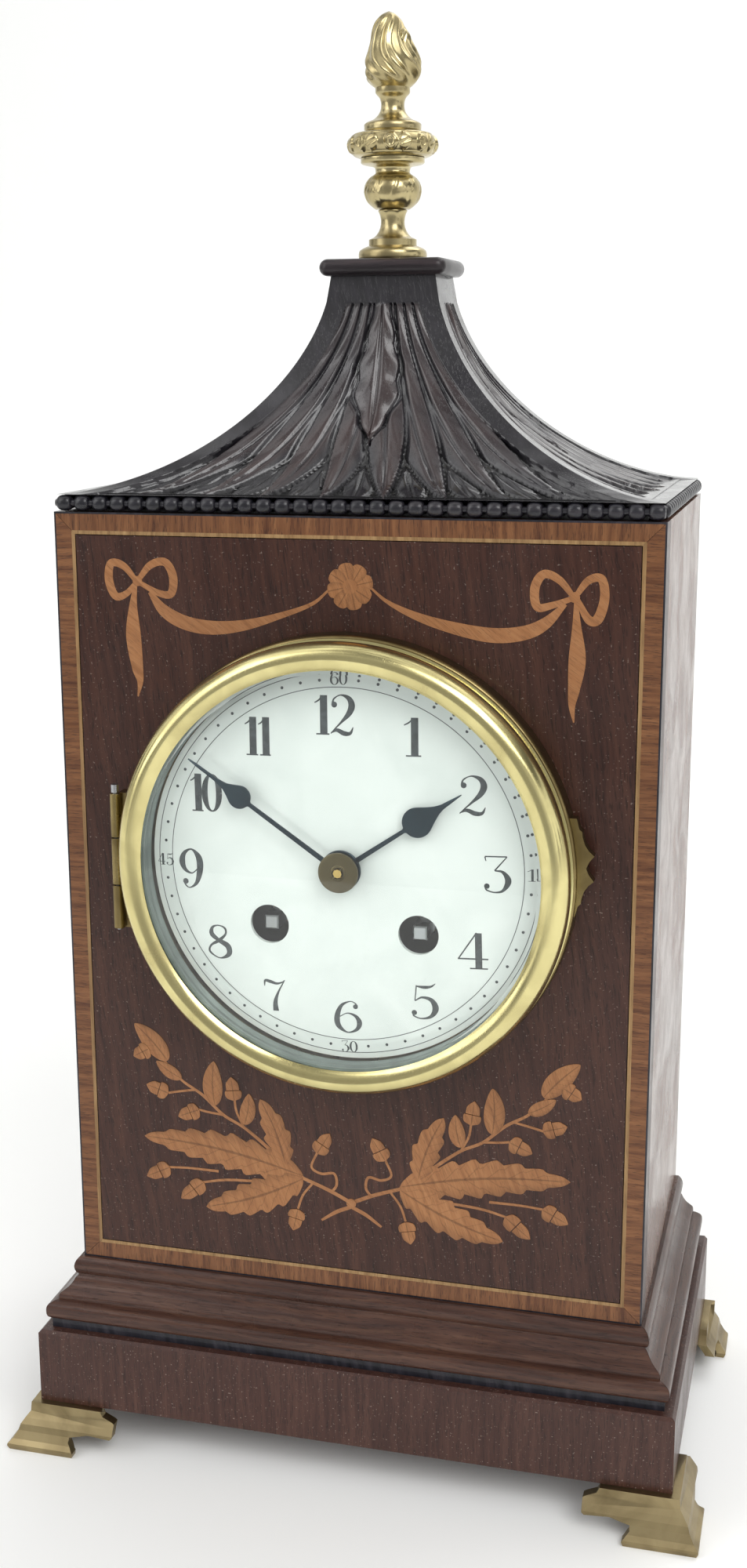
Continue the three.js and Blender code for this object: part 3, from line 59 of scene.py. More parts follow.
# the same places in millimetres from the case's front and bottom, which the pieces are built in
side = halfWidth / mm
depth = (caseBack - caseFront) / mm
high = (caseTop - caseBottom) / mm
dialUp = (dialZ - caseBottom) / mm
dialR = dialRadius / mm


def gridFaces(rows, columns, closeRows=False, closeColumns=False):
    # quads that join each point of a rows x columns grid to its neighbours
    r = np.arange(rows if closeRows else rows - 1)
    c = np.arange(columns if closeColumns else columns - 1)
    r, c = np.meshgrid(r, c, indexing="ij")
    rn, cn = (r + 1) % rows, (c + 1) % columns
    quads = np.stack([r * columns + c, r * columns + cn, rn * columns + cn, rn * columns + c], -1)
    return quads.reshape(-1, 4)


def solid(points, quads, caps=(), uv=None, wear=None):
    # a closed part in case millimetres, with its faces turned over if it is inside out
    points = np.asarray(points, float)
    shape = points.shape[:-1]
    points = points.reshape(-1, 3)
    quads = np.asarray(quads)
    a, b, c, d = (points[quads[:, k]] for k in range(4))
    volume = (np.cross(b, c) * a).sum() + (np.cross(c, d) * a).sum()
    for cap in caps:
        p = points[np.asarray(cap)]
        volume += (np.cross(p[1:-1], p[2:]) * p[0]).sum()
    if volume < 0:
        quads, caps = quads[:, ::-1], [list(cap)[::-1] for cap in caps]
    uv = np.zeros((len(points), 2)) if uv is None else np.asarray(uv, float).reshape(-1, 2)
    wear = np.zeros(len(points)) if wear is None else np.broadcast_to(wear, shape).reshape(-1)
    return {"points": points, "quads": quads, "caps": [list(map(int, cap)) for cap in caps],
            "uv": uv, "wear": wear}


def tube(rings, closed=False, **more):
    # a skin over rings of points; an open one is capped at both ends
    rows, columns = rings.shape[:2]
    quads = gridFaces(rows, columns, closed, True)
    last = (rows - 1) * columns
    caps = [] if closed else [list(range(columns))[::-1], list(range(last, last + columns))]
    return solid(rings, quads, caps, **more)


def joinParts(parts):
    starts = np.cumsum([0] + [len(p["points"]) for p in parts])
    whole = {key: np.concatenate([p[key] for p in parts]) for key in ("points", "uv", "wear")}
    whole["quads"] = np.concatenate([p["quads"] + s for p, s in zip(parts, starts)])
    whole["caps"] = [[i + int(s) for i in cap] for p, s in zip(parts, starts) for cap in p["caps"]]
    return whole


def makePiece(name, part, look, body="case", replaces=(), smooth=35):
    if isinstance(part, list):
        part = joinParts(part)
    mesh = bpy.data.meshes.new(name)
    points = part["points"] * mm + (0, caseFront, caseBottom)
    mesh.from_pydata(points.tolist(), [], part["quads"].tolist() + part["caps"])
    corner = np.zeros(len(mesh.loops), int)
    mesh.loops.foreach_get("vertex_index", corner)
    mesh.uv_layers.new(name="pattern").data.foreach_set("uv", part["uv"][corner].astype(np.float32).ravel())
    mesh.attributes.new("wear", "FLOAT", "POINT").data.foreach_set("value", part["wear"].astype(np.float32))
    mesh.shade_smooth()
    mesh.set_sharp_from_angle(angle=math.radians(smooth))
    mesh.materials.append(looks[look])
    piece = bpy.data.objects.new(name, mesh)
    bpy.context.scene.collection.objects.link(piece)
    if replaces:
        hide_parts(*replaces)
    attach(piece, body)


def smoothCopy(node, look, body, smooth):
    # a CAD node's own shape, merged and shaded smooth, stands in its place
    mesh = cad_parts[node].data.copy()
    work = bmesh.new()
    work.from_mesh(mesh)
    bmesh.ops.remove_doubles(work, verts=work.verts, dist=1e-6)
    work.to_mesh(mesh)
    work.free()
    mesh.shade_smooth()
    mesh.set_sharp_from_angle(angle=math.radians(smooth))
    mesh.materials.clear()
    mesh.materials.append(looks[look])
    piece = bpy.data.objects.new(node + "_smooth", mesh)
    bpy.context.scene.collection.objects.link(piece)
    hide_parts(node)
    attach(piece, body)


def smoothCorners(profile, times=2, closed=False, keep=()):
    # each corner is cut at a quarter and three quarters of its two sides; kept corners stay
    points = [np.array(p, float) for p in profile]
    kept = {tuple(np.round(p, 9)) for p in (points[i] for i in keep)}
    for _ in range(times):
        fresh = []
        count = len(points)
        for i, p in enumerate(points):
            ends = not closed and i in (0, count - 1)
            if ends or tuple(np.round(p, 9)) in kept:
                fresh.append(p)
                continue
            before, after = points[i - 1], points[(i + 1) % count]
            fresh += [p * 0.75 + before * 0.25, p * 0.75 + after * 0.25]
        points = fresh
    return np.array(points)


def turned(profile, axis, centre, segments, closed=True, relief=None):
    # radius and height of each corner go round the axis; relief adds to the radius
    profile = np.asarray(profile, float)
    angle = np.linspace(0, 2 * np.pi, segments, endpoint=False)
    radius, height = profile[:, :1], profile[:, 1:]
    raised = 0 if relief is None else relief(angle[None, :], radius, height)
    a, b = (radius + raised) * np.cos(angle), (radius + raised) * np.sin(angle)
    h = np.broadcast_to(height, a.shape)
    points = np.stack([a, h, b] if axis == "y" else [a, b, h], -1) + np.asarray(centre)
    return tube(points, closed, wear=np.broadcast_to(raised, a.shape))


def block(low, high):
    (x0, y0, z0), (x1, y1, z1) = low, high
    ring = [[x0, y0], [x1, y0], [x1, y1], [x0, y1]]
    return tube(np.array([[(x, y, z) for x, y in ring] for z in (z0, z1)]))


def plate(outline, front, back):
    # a flat outline in x and z with a thickness along y
    return tube(np.array([[(x, y, z) for x, z in outline] for y in (front, back)]))


def smoothStep(value, low, high):
    t = np.clip((value - low) / (high - low), 0, 1)
    return t * t * (3 - 2 * t)


def curveThrough(points, steps=12):
    # a Catmull-Rom curve through the points, each row any number of values
    p = np.asarray(points, float)
    p = np.concatenate([2 * p[:1] - p[1:2], p, 2 * p[-1:] - p[-2:-1]])
    t = np.linspace(0, 1, steps, endpoint=False)[:, None]
    out = []
    for i in range(1, len(p) - 2):
        a, b, c, d = p[i - 1:i + 3]
        out.append(0.5 * (2 * b + (c - a) * t + (2 * a - 5 * b + 4 * c - d) * t ** 2
                          + (3 * b - a - 3 * c + d) * t ** 3))
    return np.concatenate(out + [p[-2:-1]])


def ribbon(path):
    # rows of x, z and half width become two edges at right angles to the way along
    xz, half = path[:, :2], path[:, 2:3]
    way = np.gradient(xz, axis=0)
    way /= np.maximum(np.linalg.norm(way, axis=1, keepdims=True), 1e-12)
    offset = np.stack([-way[:, 1], way[:, 0]], -1) * half
    return xz + offset, xz - offset


def strip(path, front, back, closed=False, crown=0.0):
    # a band along rows of x, z and half width, from the surface front(x, z) to back(x, z);
    # its pattern coordinates run from 0 to 1 along it and across it
    left, right = ribbon(path)
    share = np.array([0, 0.5, 1])
    xz = left[:, None] * (1 - share[:, None]) + right[:, None] * share[:, None]
    y = front(xz[..., 0], xz[..., 1]) - crown * np.array([0, 1, 0])
    face = np.stack([xz[..., 0], y, xz[..., 1]], -1)
    edges = xz[:, [2, 0]]
    rear = np.stack([edges[..., 0], back(edges[..., 0], edges[..., 1]), edges[..., 1]], -1)
    rings = np.concatenate([face, rear], 1)
    step = np.linalg.norm(np.diff(path[:, :2], axis=0), axis=1)
    along = np.concatenate([[0], np.cumsum(step)]) / max(step.sum(), 1e-9)
    uv = np.stack(np.broadcast_arrays(along[:, None], np.array([0, 0.5, 1, 1, 0])), -1)
    return tube(rings, closed, uv=uv)


def disc(x, z, radius, front, back, sides):
    angle = np.linspace(0, 2 * np.pi, sides, endpoint=False)
    px, pz = x + radius * np.cos(angle), z + radius * np.sin(angle)
    return tube(np.stack([np.stack([px, s(px, pz), pz], -1) for s in (front, back)]))


def stroke(points, steps):
    points = np.asarray(points, float)
    return points if len(points) == 2 else curveThrough(points, steps)


def setInput(socket, value):
    # an input takes a link from another node, or a plain value
    if isinstance(value, bpy.types.NodeSocket):
        socket.id_data.links.new(value, socket)
    else:
        socket.default_value = value


def setInputs(node, **values):
    # inputs are named without their spaces
    for key, value in values.items():
        setInput(next(s for s in node.inputs if s.name.replace(" ", "").lower() == key.lower()), value)
    return node


def addNode(tree, kind, **values):
    # a value goes to the node's own setting of that name, or else to its input
    node = tree.nodes.new("ShaderNode" + kind)
    for key, value in values.items():
        if hasattr(node, key):
            setattr(node, key, value)
        else:
            setInputs(node, **{key: value})
    return node


def fillNode(node, values, first=0):
    # the inputs from the first on take the values in turn
    for index, value in enumerate(values):
        setInput(node.inputs[first + index], value)
    return node


def maths(tree, operation, *values):
    return fillNode(addNode(tree, "Math", operation=operation), values).outputs[0]


def mixColour(tree, blend, fac, first, second):
    node = addNode(tree, "Mix", data_type="RGBA", blend_type=blend)
    setInput(node.inputs[0], fac)
    return fillNode(node, (first, second), 6).outputs[2]


def mixNumber(tree, fac, first, second):
    node = addNode(tree, "Mix")
    setInput(node.inputs[0], fac)
    return fillNode(node, (first, second), 2).outputs[0]


def ramp(tree, fac, stops):
    node = tree.nodes.new("ShaderNodeValToRGB")
    tree.links.new(fac, node.inputs[0])
    elements = node.color_ramp.elements
    while len(elements) < len(stops):
        elements.new(0.5)
    for element, (place, colour) in zip(elements, stops):
        element.position = place
        element.color = colour
    return node.outputs[0]


def level(tree, value, start, end, outStart=0.0, outEnd=1.0):
    # from start to end the value becomes outStart to outEnd
    return fillNode(addNode(tree, "MapRange"), (value, start, end, outStart, outEnd)).outputs[0]


def noise(tree, vector, scale, detail, **more):
    return addNode(tree, "TexNoise", Vector=vector, Scale=scale, Detail=detail, **more).outputs[0]


def stretched(tree, vector, scale, rotation=(0, 0, 0)):
    return addNode(tree, "Mapping", Vector=vector, Scale=scale, Rotation=rotation).outputs[0]


def scaled(tree, vector, factor):
    return addNode(tree, "VectorMath", operation="SCALE", Vector=vector, Scale=factor).outputs[0]


def srgb(r, g, b):
    # a colour written as 0 to 255, made linear
    c = np.array([r, g, b]) / 255
    c = np.where(c <= 0.04045, c / 12.92, ((c + 0.055) / 1.055) ** 2.4)
    return (*c.tolist(), 1)


def newGroup(name, numbers, results):
    # a group that takes a vector and some numbers, and gives numbers
    tree = bpy.data.node_groups.new(name, "ShaderNodeTree")
    tree.interface.new_socket(name="Vector", in_out="INPUT", socket_type="NodeSocketVector")
    for label, value in numbers.items():
        socket = tree.interface.new_socket(name=label, in_out="INPUT", socket_type="NodeSocketFloat")
        socket.default_value = value
    for label in results:
        tree.interface.new_socket(name=label, in_out="OUTPUT", socket_type="NodeSocketFloat")
    return tree, tree.nodes.new("NodeGroupInput").outputs, tree.nodes.new("NodeGroupOutput")


def woodGrainGroup():
    # long soft streaks, fine pores along them and slow clouds; the grain runs along Z of its vector
    tree, given, sink = newGroup("woodGrain", {"Density": 1.0, "Waviness": 1.0},
                                 ["Streaks", "Pores", "Clouds", "Height"])
    bend = addNode(tree, "TexNoise", Vector=given["Vector"], Scale=28.0, Detail=2.0)
    shift = scaled(tree, bend.outputs["Color"], maths(tree, "MULTIPLY", given["Waviness"], 0.004))
    add = addNode(tree, "VectorMath", operation="ADD")
    moved = fillNode(add, (given["Vector"], shift)).outputs[0]
    dense = scaled(tree, moved, given["Density"])
    streaks = noise(tree, stretched(tree, dense, (520, 520, 26)), 1.0, 5.0, Roughness=0.62)
    fine = noise(tree, stretched(tree, dense, (2600, 2600, 240)), 1.0, 2.0, Roughness=0.5)
    pores = level(tree, fine, 0.56, 0.66)
    setInputs(sink, Streaks=streaks, Pores=pores, Clouds=noise(tree, moved, 22.0, 3.0),
              Height=maths(tree, "SUBTRACT", streaks, pores))
    return tree


def handlingGroup():
    # smears, fine scratches and specks of dust of a surface that has been wiped for a century
    tree, given, sink = newGroup("handling", {"Size": 1.0}, ["Smears", "Scratches", "Dust"])
    sized = scaled(tree, given["Vector"], given["Size"])
    smears = noise(tree, sized, 60.0, 4.0, Distortion=0.6)
    lines = noise(tree, stretched(tree, sized, (3000, 3000, 60), (0.5, 0.3, 0.9)), 1.0, 1.0)
    dust = noise(tree, sized, 1800.0, 1.0)
    setInputs(sink, Smears=level(tree, smears, 0.35, 0.7), Scratches=level(tree, lines, 0.6, 0.72),
              Dust=level(tree, dust, 0.68, 0.76))
    return tree


woodGrain = woodGrainGroup()
handling = handlingGroup()


def newMaterial(name):
    material = bpy.data.materials.new(name)
    material.use_nodes = True
    tree = material.node_tree
    return material, tree, tree.nodes["Principled BSDF"], addNode(tree, "TexCoord").outputs["Object"]


def placeGroup(tree, group, **values):
    node = tree.nodes.new("ShaderNodeGroup")
    node.node_tree = group
    return setInputs(node, **values).outputs


def bump(tree, shader, height, strength, distance):
    node = addNode(tree, "Bump", Strength=strength, Distance=distance, Height=height)
    setInputs(shader, Normal=node.outputs[0])


def veinShade(tree):
    # a dark midrib and slanting veins from the pattern coordinates of a leaf, and a scorched edge
    pattern = addNode(tree, "UVMap", uv_map="pattern")
    split = addNode(tree, "SeparateXYZ", Vector=pattern.outputs[0]).outputs
    away = maths(tree, "ABSOLUTE", maths(tree, "SUBTRACT", split["Y"], 0.5))
    slant = maths(tree, "MULTIPLY_ADD", away, -0.32, split["X"])
    vein = level(tree, maths(tree, "PINGPONG", slant, 0.065), 0.0, 0.009, 0.72, 1.0)
    rib = level(tree, away, 0.02, 0.05, 0.6, 1.0)
    edge = level(tree, split["Y"], 0.7, 1.0, 1.0, 0.72)
    return maths(tree, "MULTIPLY", maths(tree, "MULTIPLY", vein, rib), edge)


def woodMaterial(name, tones, turn=(0, 0, 0), density=1.0, waviness=1.0, roughness=0.3, coat=0.1, pore=0.5,
                 dust=0.0, shine=0.3, worn=None, veins=False):
    # tones are the dark, middle and light of the grain; worn is the colour of its rubbed high places, real
    # wear and also a painted sheen
    material, tree, shader, place = newMaterial(name)
    dark, middle, light = (srgb(*tone) for tone in tones)
    laid = stretched(tree, place, (1, 1, 1), turn)
    grain = placeGroup(tree, woodGrain, Vector=laid, Density=density, Waviness=waviness)
    wiped = placeGroup(tree, handling, Vector=place)
    colour = ramp(tree, grain["Streaks"], [(0.3, dark), (0.5, middle), (0.72, light)])
    if worn:
        # the high places take the worn colour, partly real rubbed wear and partly a painted sheen
        wear = addNode(tree, "Attribute", attribute_name="wear").outputs["Fac"]
        patches = level(tree, grain["Clouds"], 0.38, 0.66)
        rubbedAndSheen = maths(tree, "MULTIPLY", level(tree, wear, 0.55, 1.0), patches)
        colour = mixColour(tree, "MIX", rubbedAndSheen, colour, srgb(*worn))
        # painted shade: the low places of the relief are darkened, as if shade lay in the hollows
        colour = mixColour(tree, "MULTIPLY", 1.0, colour, level(tree, wear, 0.05, 0.5, 0.15, 1.0))
    if veins:
        colour = mixColour(tree, "MULTIPLY", 1.0, colour, veinShade(tree))
    cloudy = level(tree, grain["Clouds"], 0.3, 0.7, 0.0, 0.45)
    colour = mixColour(tree, "MULTIPLY", cloudy, colour, (0.62, 0.6, 0.6, 1))
    poreColour = (*(c * 0.25 for c in dark[:3]), 1)
    colour = mixColour(tree, "MIX", maths(tree, "MULTIPLY", grain["Pores"], pore), colour, poreColour)
    if dust:
        dusty = maths(tree, "MULTIPLY", wiped["Dust"], dust)
        colour = mixColour(tree, "MIX", dusty, colour, srgb(176, 160, 150))
    setInputs(shader, BaseColor=colour, CoatWeight=coat, CoatRoughness=0.08, SpecularIORLevel=shine,
              Roughness=level(tree, wiped["Smears"], 0, 1, roughness - 0.06, roughness + 0.1))
    bump(tree, shader, grain["Height"], 0.6, 0.00004)
    return material


def metalMaterial(name, bright, dull, roughness, tarnish):
    material, tree, shader, place = newMaterial(name)
    worn = placeGroup(tree, handling, Vector=place, Size=1.4)
    mask = maths(tree, "MULTIPLY", worn["Smears"], tarnish)
    setInputs(shader, BaseColor=mixColour(tree, "MIX", mask, srgb(*bright), srgb(*dull)), Metallic=1.0,
              Roughness=level(tree, worn["Smears"], 0, 1, roughness, roughness + 0.14))
    bump(tree, shader, worn["Scratches"], 0.25, 0.00002)
    return material


alongX, alongY = (0, math.pi / 2, 0), (math.pi / 2, 0, 0)
bandTones = [(82, 48, 30), (114, 74, 46), (138, 94, 60)]
mouldingTones = [(55, 35, 29), (73, 48, 39), (93, 65, 51)]
looks = {
    "field": woodMaterial("mahoganyField", [(50, 28, 22), (64, 38, 30), (77, 48, 37)], (0, 0.12, 0),
                          density=1.1, roughness=0.34, coat=0.08, pore=0.6, dust=0.3),
    "crossbandUp": woodMaterial("crossbandAcross", bandTones, density=1.5, roughness=0.36),
    "crossbandSide": woodMaterial("crossbandAlong", bandTones, alongX, density=1.5, roughness=0.36),
    "stringing": woodMaterial("boxwoodStringing", [(122, 92, 58), (150, 118, 78), (172, 140, 96)],
                              density=1.4, roughness=0.4, pore=0.2),
    "sides": woodMaterial("mahoganySides", [(70, 44, 34), (104, 70, 53), (130, 92, 70)],
                          density=0.9, roughness=0.24, coat=0.08, pore=0.6, shine=0.45),
    "plinth": woodMaterial("mahoganyPlinth", [(59, 36, 31), (71, 45, 38), (85, 57, 48)],
                           density=1.3, waviness=0.7, roughness=0.34, dust=0.4),
    "moulding": woodMaterial("mahoganyMoulding", mouldingTones, alongX, density=1.2, coat=0.15),
    "mouldingSide": woodMaterial("mahoganyMouldingSide", mouldingTones, alongY, density=1.2, coat=0.15),
    "plainWood": woodMaterial("stainedSoftwood", [(66, 45, 34), (90, 64, 47), (112, 84, 62)], alongX,
                              density=0.7, roughness=0.6, coat=0.0, pore=0.3),
    "ebony": woodMaterial("ebonisedWood", [(20, 20, 25), (34, 34, 42), (58, 55, 62)], (0, 0.2, 0),
                          density=0.9, roughness=0.36, coat=0.25, pore=0.3),
    "beads": woodMaterial("ebonisedBeads", [(18, 18, 22), (32, 31, 38), (56, 52, 56)], alongX,
                          density=1.2, roughness=0.32, coat=0.35, pore=0.3),
    "inlay": woodMaterial("satinwoodInlay", [(142, 95, 58), (160, 110, 70), (172, 122, 80)], (0, 0.9, 0),
                          density=1.8, roughness=0.36, pore=0.3),
    "inlayLeaf": woodMaterial("satinwoodLeaves", [(140, 93, 58), (158, 108, 68), (170, 120, 78)], (0, 0.4, 0),
                              density=1.8, roughness=0.36, pore=0.3, veins=True),
    "ebonyPlain": woodMaterial("ebonisedCap", [(26, 22, 24), (40, 34, 37), (58, 48, 50)], (0, 1.57, 0),
                               density=0.9, pore=0.3),
    # the carving's worn colour is real rubbed wear and a painted sheen on its high places; its hollows get
    # painted shade
    "carving": woodMaterial("ebonisedCarving", [(22, 20, 24), (31, 29, 34), (42, 39, 45)], (0, 0.2, 0),
                            density=0.9, roughness=0.26, coat=0.5, pore=0.3, shine=0.5, worn=(74, 58, 56)),
    "brass": metalMaterial("polishedBrass", (222, 211, 152), (162, 147, 98), 0.15, 0.45),
    "ringBrass": metalMaterial("surroundBrass", (146, 130, 88), (84, 68, 44), 0.24, 0.7),
    "colletBrass": metalMaterial("colletBrass", (98, 88, 62), (66, 57, 38), 0.3, 0.7),
    # painted shade: the front plate behind the dial is a near-black copy of the plate brass, standing in for
    # the shade behind the dial
    "darkBrass": metalMaterial("shadedPlateBrass", (44, 42, 36), (26, 25, 22), 0.45, 0.7),
    "castBrass": metalMaterial("castBrass", (196, 182, 138), (118, 102, 68), 0.18, 0.55),
    "footBrass": metalMaterial("dullBrass", (160, 144, 108), (98, 84, 58), 0.32, 0.75),
    "plateBrass": metalMaterial("plateBrass", (214, 184, 112), (160, 126, 70), 0.26, 0.4),
    "steel": metalMaterial("brightSteel", (176, 178, 180), (120, 118, 112), 0.25, 0.4),
    "blued": metalMaterial("bluedSteel", (44, 58, 66), (28, 34, 38), 0.3, 0.5),
    "silvered": metalMaterial("silveredRing", (148, 156, 152), (92, 100, 97), 0.28, 0.5),
}


def enamelMaterial():
    material, tree, shader, place = newMaterial("dialEnamel")
    worn = placeGroup(tree, handling, Vector=place)
    tint = mixColour(tree, "MIX", worn["Smears"], srgb(222, 227, 223), srgb(211, 217, 213))
    setInputs(shader, BaseColor=tint, Roughness=0.12, CoatWeight=0.6, CoatRoughness=0.03)
    return material


def inkMaterial():
    material, tree, shader, place = newMaterial("firedInk")
    patchy = noise(tree, place, 900.0, 3.0)
    tint = ramp(tree, patchy, [(0.35, srgb(40, 44, 46)), (0.7, srgb(66, 72, 74))])
    setInputs(shader, BaseColor=tint, Roughness=0.25)
    return material


def glassMaterial():
    material, tree, shader, place = newMaterial("bevelledGlass")
    worn = placeGroup(tree, handling, Vector=place)
    setInputs(shader, BaseColor=(0.97, 1.0, 0.985, 1), TransmissionWeight=1.0, IOR=1.46,
              Roughness=level(tree, worn["Smears"], 0, 1, 0.0, 0.02))
    # light passes the glass unhindered, so the dial behind it is lit
    clear = addNode(tree, "BsdfTransparent").outputs[0]
    shadow = addNode(tree, "LightPath").outputs["Is Shadow Ray"]
    blend = fillNode(addNode(tree, "MixShader"), (shadow, shader.outputs[0], clear))
    sink = next(n for n in tree.nodes if n.type == "OUTPUT_MATERIAL")
    setInputs(sink, Surface=blend.outputs[0])
    return material


looks["enamel"] = enamelMaterial()
looks["ink"] = inkMaterial()
looks["glass"] = glassMaterial()
print("materials made")


def behindFront(x, z):
    return np.full_like(x, 0.3)


def raised(rank):
    # a surface just before the front; pieces that cross each other take different ranks
    return lambda x, z: np.full_like(x, -0.03 - 0.012 * rank)


def mitredFrame(outer, inner, front, back, gap=0.06):
    # bottom, right, top and left pieces between two upright rectangles round the case's front
    pieces = []
    (ox, oz), (ix, iz) = (side - outer, outer), (side - inner, inner)
    corners = [(-ox, oz), (ox, oz), (ox, high - oz), (-ox, high - oz)]
    inside = [(-ix, iz), (ix, iz), (ix, high - iz), (-ix, high - iz)]
    for k in range(4):
        n = (k + 1) % 4
        a, b, c, d = (np.array(p, float) for p in (corners[k], corners[n], inside[n], inside[k]))
        along = (b - a) / np.linalg.norm(b - a) * gap
        pieces.append(plate([a + along, b - along, c - along, d + along], front, back))
    return pieces


crossband = {"width": 4.5, "depth": 0.8, "edge": 0.45, "string": 1.1, "stringGap": 0.02, "edgeFront": 0.05}


def makeVeneer():
    edge, width, back = crossband["edge"], crossband["width"], crossband["depth"]
    bands = mitredFrame(edge, width, 0, back)
    makePiece("crossband_top_bottom", [bands[0], bands[2]], "crossbandUp", replaces=["crossband_frame"])
    makePiece("crossband_sides", [bands[1], bands[3]], "crossbandSide")
    strings = mitredFrame(width, width + crossband["string"], 0, back, crossband["stringGap"])
    makePiece("stringing", strings, "stringing")
    edges = mitredFrame(0, edge, crossband["edgeFront"], back, 0)
    makePiece("dark_edge", edges, "ebony")


makeVeneer()


def leaf(base, tip, width, lobes, bend, rank, steps=60):
    # a leaf from its stalk to its tip, its two edges swelling once for each lobe
    t = np.linspace(0, 1, steps)
    base, tip = np.array(base, float), np.array(tip, float)
    way = tip - base
    across = np.array([-way[1], way[0]]) / np.linalg.norm(way)
    middle = base + way * t[:, None] + across * (bend * np.sin(np.pi * t))[:, None]
    half = width / 2 * np.sin(np.pi * t ** 0.8) ** 0.65
    if lobes:
        # lobes that lean towards the tip, as saw teeth with rounded backs
        tooth = (lobes * t) % 1
        half *= 0.74 + 0.26 * np.minimum(tooth * 1.5, 1) * (1 - smoothStep(tooth, 0.78, 1.0))
    half = np.maximum(half, 0.05)
    return strip(np.column_stack([middle, half]), raised(rank), behindFront)


def wire(points, steps, rank):
    return strip(stroke(points, steps), raised(rank), behindFront)


def acorn(base, tip):
    # a round nut in a wider cup
    base, tip = np.array(base, float), np.array(tip, float)
    knee = base + (tip - base) * 0.42             # where the nut leaves its cup
    cup = [(*base, 0.5), (*(base * 0.75 + knee * 0.25), 1.9), (*(base * 0.3 + knee * 0.7), 2.3),
           (*knee, 2.15)]
    nut = [(*(knee + (tip - base) * 0.03), 1.8), (*(knee * 0.45 + tip * 0.55), 1.65),
           (*(knee * 0.15 + tip * 0.85), 0.85), (*(tip * 1.04 - knee * 0.04), 0.1)]
    return [wire(cup, 5, 16), wire(nut, 5, 15)]


# rows of x, z and half width from the middle and the bottom of the case
ribbons = {
    "left": {
        "loops": [[(-53.6, 183.2, .6), (-57, 187, .9), (-60.3, 187.6, 1), (-61, 183.5, 1.1),
                   (-59.4, 179.6, 1), (-56.6, 180.2, .8), (-54, 182.8, .6)],
                  [(-53.2, 183.8, .6), (-50, 187.4, .9), (-46.2, 188.2, 1), (-44.2, 184.8, 1.1),
                   (-44.8, 180.6, 1), (-48, 180.6, .8), (-52.6, 182.8, .6)]],
        "tail": [(-54, 182.6, .4), (-54.8, 177.5, 1), (-55, 170, 1.95), (-54.2, 162, 1.5), (-53.6, 158.4, .8),
                 (-54.3, 154.6, .15)],
        "swag": [(-50.4, 180.8, .5), (-46.6, 176.2, 1.5), (-41, 173.4, 1.75), (-34, 172.5, 1.7),
                 (-26, 173.4, 1.3), (-17.5, 175.8, .8), (-9, 179, .45), (-4.6, 182.6, .25)],
        "knot": (-53.5, 183.4)},
    "right": {
        "loops": [[(54, 182.6, .6), (50.6, 186.4, .9), (47, 187.6, 1), (45, 184.4, 1.1), (45.6, 180, 1),
                   (49, 180.4, .8), (53.4, 182, .6)],
                  [(54.6, 182.8, .6), (57.4, 186.4, .9), (60.4, 186.8, 1), (61.2, 182.4, 1.1),
                   (59.8, 177.6, 1.2), (57.6, 177.4, 1), (55, 181.8, .6)]],
        "tail": [(54.6, 181.8, .4), (54.9, 176, 1), (55.2, 168, 2), (54.6, 161, 1.4), (54.2, 157, .8),
                 (54.7, 153, .15)],
        "swag": [(5.6, 183.4, .25), (9.6, 180.2, .45), (16, 177.2, .9), (24, 174.8, 1.35), (34.3, 173, 1.75),
                 (42, 173.6, 1.7), (47.4, 176, 1.4), (52.2, 180.8, .5)],
        "knot": (54.3, 182.4)},
}
ribbonParts = []
for ribbonSide in ribbons.values():
    for rank, path in enumerate((*ribbonSide["loops"], ribbonSide["tail"], ribbonSide["swag"])):
        ribbonParts.append(wire(path, 10, rank))
    ribbonParts.append(disc(*ribbonSide["knot"], 1.25, raised(6), behindFront, 16))
makePiece("inlaid_ribbons", ribbonParts, "inlay")

rosette = {"x": 0.6, "z": 183.5, "start": 1.3, "reach": 5.7, "petals": 8, "eye": 1.75}


def makeRosette():
    centre = np.array([rosette["x"], rosette["z"]])
    t = np.linspace(0, 1, 20)
    half = 0.8 + 1.15 * np.sin(np.pi * t ** 1.5) ** 0.6
    half[-1] = 0.45
    petals = []
    for k in range(rosette["petals"]):
        turn = (k + 0.3) / rosette["petals"] * 2 * math.pi
        way = np.array([math.cos(turn), math.sin(turn)])
        inner, outer = centre + way * rosette["start"], centre + way * rosette["reach"]
        path = np.column_stack([inner + (outer - inner) * t[:, None], half])
        petals.append(strip(path, raised(k), behindFront))
    petals.append(disc(*centre, rosette["eye"], raised(9), behindFront, 20))
    makePiece("inlaid_rosette", petals, "inlayLeaf")


makeRosette()

